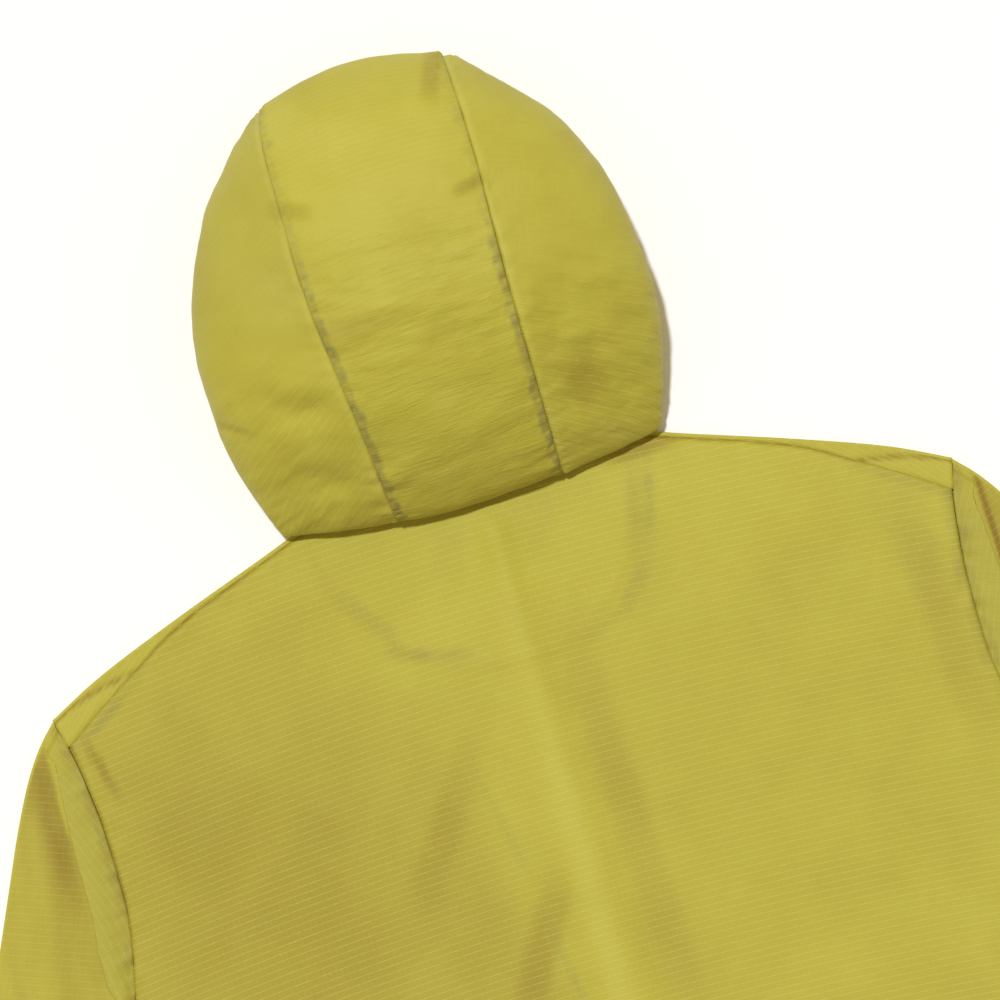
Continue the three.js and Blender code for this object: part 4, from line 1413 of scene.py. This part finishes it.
        def edge(share: np.ndarray, curve: Curve, turn: float, top: float, falling: bool) -> None:
            """Adds the half-round fold at an edge.

            Args:
                share: Share of the edge's length at each row.
                curve: The edge.
                turn: Which side of the edge the cloth lies on.
                top: Height of the top layer there.
                falling: Whether the fold goes from the top layer down.
            """
            p, into = curve.at(share), curve.into(share, turn)
            r = (top - FLOOR) / 2
            angles = np.linspace(0, math.pi, self.ROLL + 1)
            for a in (angles[:-1] if not falling else angles[1:]):
                rise = 1 - math.cos(a) if not falling else 1 + math.cos(a)
                q = p + into * r * (1 - math.sin(a))
                ring.append((np.stack([q[:, 0] + GAP, q[:, 1], np.full(len(q), FLOOR + r * rise)], -1),
                             turned(q, self.HEADING), -0.3 * smooth(self.CUFF_DEEP - cuff[:, 0]),
                             np.zeros(len(q))))

        so, si = self.edges(row[:, 0])[0], self.edges(row[:, -1])[1]
        edge(so, self.outer, -1, SLEEVE_HIGH[0], False)
        for k in range(1, self.TOP + 1):
            ring.append((np.stack([x[:, k], y[:, k], z[:, k]], -1), flat[:, k], tone[:, k],
                         doubled_and_shade[:, k]))
        edge(si, self.inner, 1, SLEEVE_HIGH[1], True)
        plain_row = mix(row[:, :1], row[:, -1:], np.linspace(1, 0, self.UNDER + 2)[None, 1:-1])
        vu = np.linspace(1, 0, self.UNDER + 2)[1:-1]
        ux, uy = self.plan(plain_row, vu[None, :])
        for k in range(self.UNDER):
            place, plain = np.stack([ux[:, k], uy[:, k]], -1), np.zeros(len(ux))
            ring.append((np.column_stack([place, plain + FLOOR]), turned(place, self.HEADING),
                         plain, plain))
        ring.append(ring[0])
        p, threads, tones, layers = (np.stack(part, 1) for part in zip(*ring))
        p[..., 0] *= side
        name = SIDES[side]
        return Panel(f"sleeve_{name}_cloth", f"sleeve_{name}", p, threads, tones, np.clip(layers, 0, 1),
                     lines=np.full(p.shape[:2], 0.62),
                     wrinkle=np.full(p.shape[:2], -0.4), ring=True, rests_on=("floor",))


class Hood:
    """The hood in three panels, softly filled, running down into the stand collar."""

    ROWS = 250
    CENTRE_COLS = 104
    DOME, ROUND, FLAT = 72, 20, 14
    RIM_DEEP = 14.0  # turned rim of the face opening
    LOWEST = 0.35  # height that no part of the middle surface goes below
    SIDE_HEADING = {1: -22.0, -1: 31.0}  # of the crosswise threads at a side panel's middle
    FIRM = {1: 0.8, -1: 0.25}  # how hard each long seam draws in
    ALLOWANCE = 7.0  # mm of doubled cloth on the middle panel's side of each seam
    CREASES = (
        Crease(-96, 128, -50, 112, -2.4, 8, bend=3), Crease(-94, 90, -44, 70, -2.6, 8, bend=3),
        Crease(-119, 126, -103, 116, -1.2, 4), Crease(-55, 232, -54, 208, -1.6, 6),
        Crease(49, 214, 50, 192, -1.6, 5), Crease(74, 118, 70, 76, -2.6, 9, bend=-4),
        Crease(-30, 196, 40, 190, 0.7, 5), Crease(-38, 176, 34, 166, -0.8, 5, bend=2),
        Crease(-40, 152, 40, 146, 0.8, 6, bend=-2), Crease(-36, 120, 44, 104, -1.0, 8, bend=4),
        Crease(-34, 88, 36, 80, 0.9, 7, bend=-3), Crease(60, 170, 104, 150, 1.0, 8, bend=3),
        Crease(56, 140, 100, 122, -1.1, 7), Crease(-100, 170, -62, 158, 0.9, 8, bend=-3),
        Crease(-41, 62, -42, 47, -1.8, 3, open_end=True),
    )
    # Painted shade in creases, tucks and lower parts, and painted highlights over the crown and upper
    # middle.
    SHADES = (
        Patch(4, 70, 60, 20, 2, 0.03), Patch(8, 100, 56, 18, -6, 0.02),
        Patch(72, 92, 16, 11, -70, -0.3), Patch(76, 62, 26, 8, 4, 0.1),
        Patch(-76, 118, 24, 8, -14, -0.06), Patch(-70, 76, 26, 8, -18, -0.02),
        Patch(-50, 148, 20, 9, -30, -0.08), Patch(-30, 152, 26, 5, -4, -0.2),
        Patch(16, 138, 26, 4, -4, -0.12), Patch(-50, 218, 12, 5, -24, -0.32),
        Patch(42, 205, 9, 3.5, 12, -0.4), Patch(60, 130, 30, 9, 68, -0.1),
        Patch(90, 118, 26, 14, 70, -0.1), Patch(-111, 120, 12, 2, -30, -0.34),
        Patch(40, 268, 15, 5, 68, -0.34), Patch(0, 225, 48, 40, 0, 0.12),
        Patch(20, 168, 20, 12, -4, 0.14), Patch(-84, 250, 30, 12, 60, 0.1),
    )

    def __init__(self) -> None:
        """Seeds the relief."""
        self.noise = Noise(37)
        self.crumple = Crumple(broad=1.0, broad_size=60, soft=0.6, soft_size=20, fine=0.1)

    def point(self, side: Values, at: Values, turn: Values) -> np.ndarray:
        """Points of the hood, by row and by share from the middle (0) to the rim (1).

        Args:
            side: 1 on the right, -1 on the left.
            at: Position counted in rows of the list.
            turn: Share of the half-row.

        Returns:
            The points.
        """
        side, at, turn = np.broadcast_arrays(np.asarray(side, float), np.asarray(at, float),
                                             np.asarray(turn, float))
        get = {name: row_value(HOOD_ROWS, k, at) for k, name in enumerate(HOOD_COLUMNS)}
        a = np.clip(turn / HOOD_WIDE, 0, 1) * math.pi / 2
        x = get["wide_x"] * np.sin(a)
        y = mix(get["mid_y"], get["wide_y"], np.sin(a) ** 2)
        z = mix(get["wide_z"], get["mid_z"], np.maximum(np.cos(a), 0) ** HOOD_FULL)
        b = np.clip((turn - HOOD_WIDE) / (HOOD_LAY - HOOD_WIDE), 0, 1) * math.pi / 2
        bx = mix(get["lay_x"], get["wide_x"], np.cos(b))
        by = mix(get["wide_y"], get["lay_y"], np.sin(b))
        bz = mix(get["wide_z"], FLOOR, np.sin(b))
        t = np.clip((turn - HOOD_LAY) / (1 - HOOD_LAY), 0, 1)
        c = t * math.pi / 2
        straight = np.clip(at / STRAIGHT_ROW, 0, 1)
        rim = np.maximum(get["rim_x"], side * ZIP_X + ZIP_EDGE)
        cx = mix(get["lay_x"], rim, mix(1 - np.cos(c), t, straight))
        cy = mix(get["lay_y"], get["rim_y"], mix(np.sin(c), t, straight))
        first, second = turn <= HOOD_WIDE, turn <= HOOD_LAY
        x = np.where(first, x, np.where(second, bx, cx))
        y = np.where(first, y, np.where(second, by, cy))
        z = np.where(first, z, np.where(second, bz, FLOOR))
        return np.stack([side * x, y, np.maximum(z, FLOOR)], -1)

    def seam(self, side: int, at: Values) -> Values:
        """Finds the share of the half-row at which the long seam lies.

        Args:
            side: 1 on the right, -1 on the left.
            at: Position counted in rows of the list.

        Returns:
            The share.
        """
        column = HOOD_COLUMNS.index("seam_right" if side > 0 else "seam_left")
        wide = row_value(HOOD_ROWS, HOOD_COLUMNS.index("wide_x"), at)
        share = np.minimum(1, row_value(HOOD_ROWS, column, at) / wide)
        return np.arcsin(share) / (math.pi / 2) * HOOD_WIDE

    def upward(self, out: np.ndarray) -> np.ndarray:
        """How much each place faces up, from its normal."""
        return smooth((out[..., 2] + 0.1) / 0.5)

    def relief(self, p: np.ndarray, threads: np.ndarray, top: np.ndarray) -> np.ndarray:
        """Creases and crumples a panel, less where the cloth turns under.

        Args:
            p: The panel's points.
            threads: Their thread places.
            top: How much each faces up.

        Returns:
            Millimetres along the normals.
        """
        x, y = p[..., 0], p[..., 1]
        lift = smooth((p[..., 2] - 2) / 14)
        h = self.crumple.height(self.noise, threads[..., 0], threads[..., 1], 15) * lift
        h = h + creases(self.CREASES, x, y) * top * lift
        band = smooth((y - 112) / 25) * smooth((215 - y) / 20) * smooth((62 - np.abs(x)) / 18)
        h = h + 0.8 * band * top * self.noise.layers(x, y + 40, 5.5, 3, 4.5, -4)
        right = smooth((x - 40) / 20) * smooth((170 - y) / 20) * smooth((y - 50) / 20)
        h = h + 0.8 * right * top * self.noise.layers(x + 90, y, 9, 3, 2.2, -30)
        left = smooth((-52 - x) / 16) * smooth((150 - y) / 20) * smooth((y - 48) / 14)
        h = h + 0.6 * left * top * self.noise.layers(x - 90, y, 8, 3, 2.6, 24)
        low = smooth((95 - y) / 30) * top * lift
        return h + 0.7 * low * self.noise.layers(x, y, 14, 3, 3.0, 8)

    def shade(self, p: np.ndarray, facing: np.ndarray) -> np.ndarray:
        """Painted tone of a panel: painted shade in its creases, tucks and lower parts and painted
        highlights over the crown, all where it faces up.
        """
        x, y = p[..., 0], p[..., 1]
        return (patches(self.SHADES, x, y) + 0.08 * self.noise.layers(x, y, 30, 3)) * facing

    def shaped(self, p: np.ndarray, side: int, aim_at: tuple[int, int],
               heading: float) -> tuple[np.ndarray, np.ndarray]:
        """Lays threads on a panel and finds its normals.

        Args:
            p: Its points.
            side: 1 where the columns run to the right, -1 where they run to the left.
            aim_at: Row and column where the threads' heading is given.
            heading: Heading in plan of the crosswise threads there, in degrees.

        Returns:
            The threads and the unit normals.
        """
        flat = flatten(p)
        i, j = aim_at
        across = (p[i, j + 1] - p[i, j - 1])[:2]
        along = (p[i + 1, j] - p[i - 1, j])[:2]
        share = np.linalg.solve(np.stack([across, along], 1), np.array(direction(heading)))
        way = share[0] * (flat[i, j + 1] - flat[i, j - 1]) + share[1] * (flat[i + 1, j] - flat[i - 1, j])
        threads = turned(flat, math.degrees(math.atan2(way[1], way[0])))
        return threads, normals(p) * side

    def centre(self) -> Panel:
        """Shapes the middle panel, from the neck over the crown to the rim of the face opening.

        Returns:
            The panel.
        """
        at = np.linspace(0, len(HOOD_ROWS) - 1, self.ROWS)[:, None]
        u = np.linspace(0, 1, self.CENTRE_COLS)[None, :]
        turn = mix(-self.seam(-1, at), self.seam(1, at), u)
        p = self.point(np.where(turn < 0, -1, 1), at, np.abs(turn))
        threads, out = self.shaped(p, 1, (self.ROWS // 2, self.CENTRE_COLS // 2), 2.0)
        across, along = arc(p, 1), arc(p, 0)
        left, right = across, across[:, -1:] - across
        facing = self.upward(out)
        h = self.relief(p, threads, facing) * smooth(left / 5) * smooth(right / 5)
        tone = self.shade(p, facing)
        doubled_and_shade = np.zeros(p.shape[:2])
        for away, shift, firm in ((left, 0.0, self.FIRM[-1]), (right, 400.0, self.FIRM[1])):
            wave = self.noise.layers((along + shift) / 3.6, away / 12, 1.0, 3)
            deep = self.ALLOWANCE * (0.8 + 0.3 * self.noise.layers((along + shift) / 9, 0 * away, 1.0, 2))
            band = smooth(away / 0.8) * smooth((deep - away) / 2.6)
            shown = mix(0.3, 1.0, smooth((215 - p[..., 1]) / 70)) * facing
            h = h + firm * seam_dip(away, 0.9, 0.5) + band * (0.2 + 0.9 * wave)
            h = h + puckers(self.noise, away, along + shift, 1.0, 7, 12)
            doubled_and_shade = doubled_and_shade + band * shown * np.clip(0.55 + 0.6 * wave, 0.15, 1)
            # Painted shade in the long seam's groove, fainter near the crown.
            crisp = mix(0.15, 1.0, smooth((215 - p[..., 1]) / 30))
            tone = tone - 0.6 * (0.2 + 0.8 * firm) * bell(away / 0.6) * crisp
        rim = along[-1:] - along
        # The turned rim is darker, and painted shade runs along the neck seam.
        tone = tone - 0.35 * smooth(self.RIM_DEEP - rim) - 0.25 * bell(along / 2)
        h = h + seam_dip(along, 1.2, 0.6)
        p = p + out * h[..., None]
        p[..., 2] = np.maximum(p[..., 2], self.LOWEST)
        lines = 0.28 + 0.25 * smooth((p[..., 1] - 200) / 40)
        drawn = 0.3 + 0.7 * smooth((222 - p[..., 1]) / 30)
        return Panel("hood_centre_cloth", "hood_centre", p, threads, tone, np.clip(doubled_and_shade, 0, 1), lines,
                     drawn, rests_on=("hood_left_cloth", "hood_right_cloth"))

    def side_panel(self, side: int) -> Panel:
        """Shapes a side panel: over the side, round to the surface, and along it to the rim.

        Args:
            side: 1 for the right panel, -1 for the left one.

        Returns:
            The panel.
        """
        at = np.linspace(0, SIDE_LAST_ROW, self.ROWS - 14)[:, None]
        seam = self.seam(side, at)
        dome = mix(seam, HOOD_WIDE, np.linspace(0, 1, self.DOME + 1)[None, :])
        rest = np.r_[np.linspace(HOOD_WIDE, HOOD_LAY, self.ROUND + 1)[1:],
                     np.linspace(HOOD_LAY, 1, self.FLAT + 1)[1:]][None, :] + 0 * at
        turn = np.hstack([dome, rest])
        even = mix(seam, 1.0, np.linspace(0, 1, turn.shape[1])[None, :])
        turn = mix(turn, even, smooth((seam - 0.3) / 0.2))
        p = self.point(side, at, turn)
        threads, out = self.shaped(p, side, (len(p) // 2, 20), self.SIDE_HEADING[side])
        away, along = arc(p, 1), arc(p, 0)
        facing = self.upward(out)
        h = self.relief(p, threads, facing) * smooth(away / 5)
        firm = self.FIRM[side]
        h = h + firm * seam_dip(away, 1.0, 0.5) + puckers(self.noise, away, along + 150 * side, 0.9, 8, 9)
        h = h + seam_dip(along, 1.2, 0.5)
        tone = self.shade(p, facing)
        # Painted shade in the long seam's groove, a painted highlight just beside it where the panel faces
        # up, and painted shade along the neck seam.
        tone = tone - 0.3 * firm * bell(away / 0.7) + 0.16 * bell((away - 2.0) / 1.5) * facing
        tone = tone - 0.25 * bell(along / 2)
        lines = mix(0.25, 0.75, smooth((150 - p[..., 1]) / 60))
        drawn = mix(-0.35, 0.8 if side > 0 else 0.45, smooth((170 - p[..., 1]) / 40))
        keep = smooth((p[..., 2] - 0.6) / 2.5)
        p = p + out * (h * keep)[..., None]
        p[..., 2] = np.maximum(p[..., 2], self.LOWEST)
        name = SIDES[side]
        # Painted grey shade over the upper part where it faces up, strongest on the left panel; no double
        # layer lies there.
        doubled_and_shade = (0.04 if side > 0 else 0.18) * smooth((p[..., 1] - 140) / 50) * facing
        return Panel(f"hood_{name}_cloth", f"hood_{name}", p, threads, tone, doubled_and_shade, lines,
                     wrinkle=drawn, rests_on=("floor",))


class Zip:
    """The front zip, closed to the chin: two tapes, the coil, the slider and its ribbon pull."""

    TAPE_INNER, TAPE_OUTER, TAPE_Z = 1.3, 12.0, 1.9
    TOOTH = (2.3, 0.95, 0.9)  # across, along, high
    TOOTH_Z = 2.45
    PITCH = 1.9
    PULL = (4.4, 34.0, 0.7)
    SLIDER_LONG, SLIDER_GAP, POST = 12.0, 0.3, 3.0

    def __init__(self) -> None:
        """Finds the chain's upper end."""
        self.top = ZIP_TOP_Y - self.POST - self.SLIDER_GAP

    def tape(self, side: int) -> bpy.types.Object:
        """Makes one woven tape.

        Args:
            side: 1 for the right tape, -1 for the left one.

        Returns:
            The piece.
        """
        name = SIDES[side]
        rows, cols = 160, 8
        u = np.linspace(self.TAPE_INNER, self.TAPE_OUTER, cols)[None, :]
        y = np.linspace(HEM_Y + 1, self.top, rows)[:, None]
        x = ZIP_X + side * u + 0 * y
        y = y + 0 * u
        z = self.TAPE_Z + 0.12 * np.sin(y / 9.0 + side) * smooth((u - 6) / 4)
        panel = Panel(f"zip_tape_{name}_cloth", f"zip_tape_{name}", np.stack([x, y, z], -1),
                      np.stack([x, y], -1), np.zeros(x.shape), wall=0.5,
                      rests_on=(f"front_{name}_cloth",))
        obj = panel.make()
        obj.data.materials[0] = finish_of(Look.TAPE)
        return obj

    def coil(self) -> bpy.types.Object:
        """Makes the teeth of both halves, set turn and turn about.

        Returns:
            The piece.
        """
        bm = bmesh.new()
        count = int((self.top - HEM_Y - 3) / self.PITCH)
        for k in range(count):
            for side in (1, -1):
                y = HEM_Y + 2 + (k + (0.5 if side > 0 else 0.0)) * self.PITCH
                at = Vector(to_metres(np.array([ZIP_X + side * 0.95, y, self.TOOTH_Z])))
                size = Matrix.Diagonal((*[v * MM for v in self.TOOTH], 1))
                bmesh.ops.create_cube(bm, size=1.0, matrix=Matrix.Translation(at) @ size)
        bmesh.ops.bevel(bm, geom=bm.edges[:], offset=0.22 * MM, affect="EDGES", segments=1,
                        profile=0.5, material=-1)
        obj = placed(meshed(bm, "zip_chain_coil"), Look.TEETH, "zip_plastic", "zip_chain")
        log.info("zip_chain_coil: %d teeth", 2 * count)
        return obj

    def pull(self) -> bpy.types.Object:
        """Makes the soft ribbon pull, lying along the front below the slider.

        Returns:
            The piece.
        """
        wide, long, thick = self.PULL
        y1 = ZIP_TOP_Y - self.SLIDER_LONG - self.SLIDER_GAP
        bm = bmesh.new()
        centre = Vector(to_metres(np.array([ZIP_X, y1 - long / 2, thick / 2])))
        size = Matrix.Diagonal((wide * MM, long * MM, thick * MM, 1))
        bmesh.ops.create_cube(bm, size=1.0, matrix=Matrix.Translation(centre) @ size)
        runs = [e for e in bm.edges if abs(e.verts[0].co.y - e.verts[1].co.y) > 0.02]
        bmesh.ops.subdivide_edges(bm, edges=runs, cuts=24, use_grid_fill=True)
        rims = [e for e in bm.edges if len(e.link_faces) == 2 and e.calc_face_angle(0) > 1]
        bmesh.ops.bevel(bm, geom=rims, offset=0.2 * MM, affect="EDGES", segments=2,
                        profile=0.5, material=-1)
        obj = placed(meshed(bm, "zip_pull_ribbon"), Look.RIBBON, "zip_tape", "zip_pull")
        path = [tuple(to_metres(np.array([ZIP_X, y1 - d, thick / 2]))) for d in np.linspace(0, long, 18)]
        return obj

    def make(self) -> None:
        """Makes the whole zip."""
        for side in (1, -1):
            self.tape(side)
        self.coil()
        self.pull()
        slider = bpy.data.objects["zip_slider"]
        slider.data.materials.clear()
        slider.data.materials.append(finish_of(Look.SLIDER))


@dataclass
class Studio:
    """The pale surface, soft daylight from the upper left, and a camera straight above."""

    middle: tuple[float, float] = (11.9, 45.7)  # cutting frame, mm
    frame: float = 520.0
    height: float = 5.0
    turn: float = 16.3
    sun: float = 2.22
    sun_colour: tuple[float, float, float] = (1.0, 1.03, 1.13)
    sun_heading: tuple[float, float] = (-0.27, 0.963)
    sun_rise: float = 72.0
    sun_angle: float = 4.0
    sky: float = 0.41
    sky_colour: tuple[float, float, float, float] = (1.0, 0.83, 0.58, 1.0)

    def make(self) -> None:
        """Sets up the surface, the light and the camera."""
        scene = bpy.context.scene
        bm = bmesh.new()
        bmesh.ops.create_grid(bm, x_segments=8, y_segments=8, size=4.0,
                              matrix=Matrix.Translation((0, 0, -0.0002)))
        placed(meshed(bm, "floor"), Look.FLOOR)
        world = bpy.data.worlds.new("room")
        scene.world = world
        world.use_nodes = True
        sky = world.node_tree.nodes["Background"]
        sky.inputs[0].default_value = self.sky_colour
        sky.inputs[1].default_value = self.sky
        lamp = bpy.data.lights.new("window", "SUN")
        lamp.energy = self.sun
        lamp.color = self.sun_colour
        lamp.angle = math.radians(self.sun_angle)
        light = bpy.data.objects.new("window", lamp)
        scene.collection.objects.link(light)
        rise = math.radians(self.sun_rise)
        plan = Vector((*self.sun_heading, 0)).normalized() * math.cos(rise)
        light.rotation_euler = Vector((plan.x, plan.y, math.sin(rise))).to_track_quat("Z", "Y").to_euler()
        lens = bpy.data.cameras.new("camera")
        lens.sensor_width = 36.0
        lens.angle = 2 * math.atan(self.frame * MM / 2 / self.height)
        lens.clip_end = 50.0
        camera = bpy.data.objects.new("camera", lens)
        scene.collection.objects.link(camera)
        at = to_metres(np.array([*self.middle, 0.0]))
        camera.location = (at[0], at[1], self.height)
        camera.rotation_euler = (0, 0, -math.radians(self.turn))
        scene.camera = camera
        scene.view_settings.view_transform = "Standard"


FROM_EDGE = 2.0  # mm from the inner edge of a turned hem to its stitches


def hem_stitches(back: Panel, sleeves: Sequence[Panel], hood: Panel) -> None:
    """Sews the hem, the cuffs and the rim of the face opening.

    Args:
        back: The back panel.
        sleeves: Both sleeves.
        hood: The hood's middle panel.
    """
    lift = np.array([0.0, 0.0, WALL / 2 + 0.12])
    hem = int(np.argmin(np.abs(back.points[:, 0, 1] - (HEM_Y + Body.HEM_DEEP - FROM_EDGE))))
    back.with_pieces.append(Stitching("hem_stitches").make([back.points[hem] + lift]))
    for sleeve, name in zip(sleeves, SIDES.values()):
        ring = sleeve.points[:, Sleeve.ROLL + 2:Sleeve.ROLL + Sleeve.TOP - 2]
        from_cuff = np.linalg.norm(ring[:, 0] - ring[-1, 0], axis=-1)
        row = int(np.argmin(np.abs(from_cuff - (Sleeve.CUFF_DEEP - FROM_EDGE))))
        sleeve.with_pieces.append(Stitching(f"cuff_{name}_stitches").make([ring[row] + lift]))
    from_rim = arc(hood.points, 0)[-1, 0] - arc(hood.points, 0)[:, 0]
    row = int(np.argmin(np.abs(from_rim - Hood.RIM_DEEP + FROM_EDGE)))
    down = np.array([0.0, 0.0, 0.02 - WALL / 2])
    hood.with_pieces.append(Stitching("rim_stitches").make([hood.points[row] + down]))


def main() -> None:
    """Builds the jacket piece by piece, then the studio."""
    logging.basicConfig(level=logging.INFO, format="%(name)s: %(message)s")
    Studio().make()
    body = Body()
    panels = [body.front(1), body.front(-1), body.back()]
    panels += [Sleeve(1).panel(), Sleeve(-1).panel()]
    hood = Hood()
    panels += [hood.centre(), hood.side_panel(1), hood.side_panel(-1)]
    Zip().make()
    hem_stitches(panels[2], panels[3:5], panels[5])
    for panel in panels:
        panel.make()


if __name__ == "__main__":
    main()
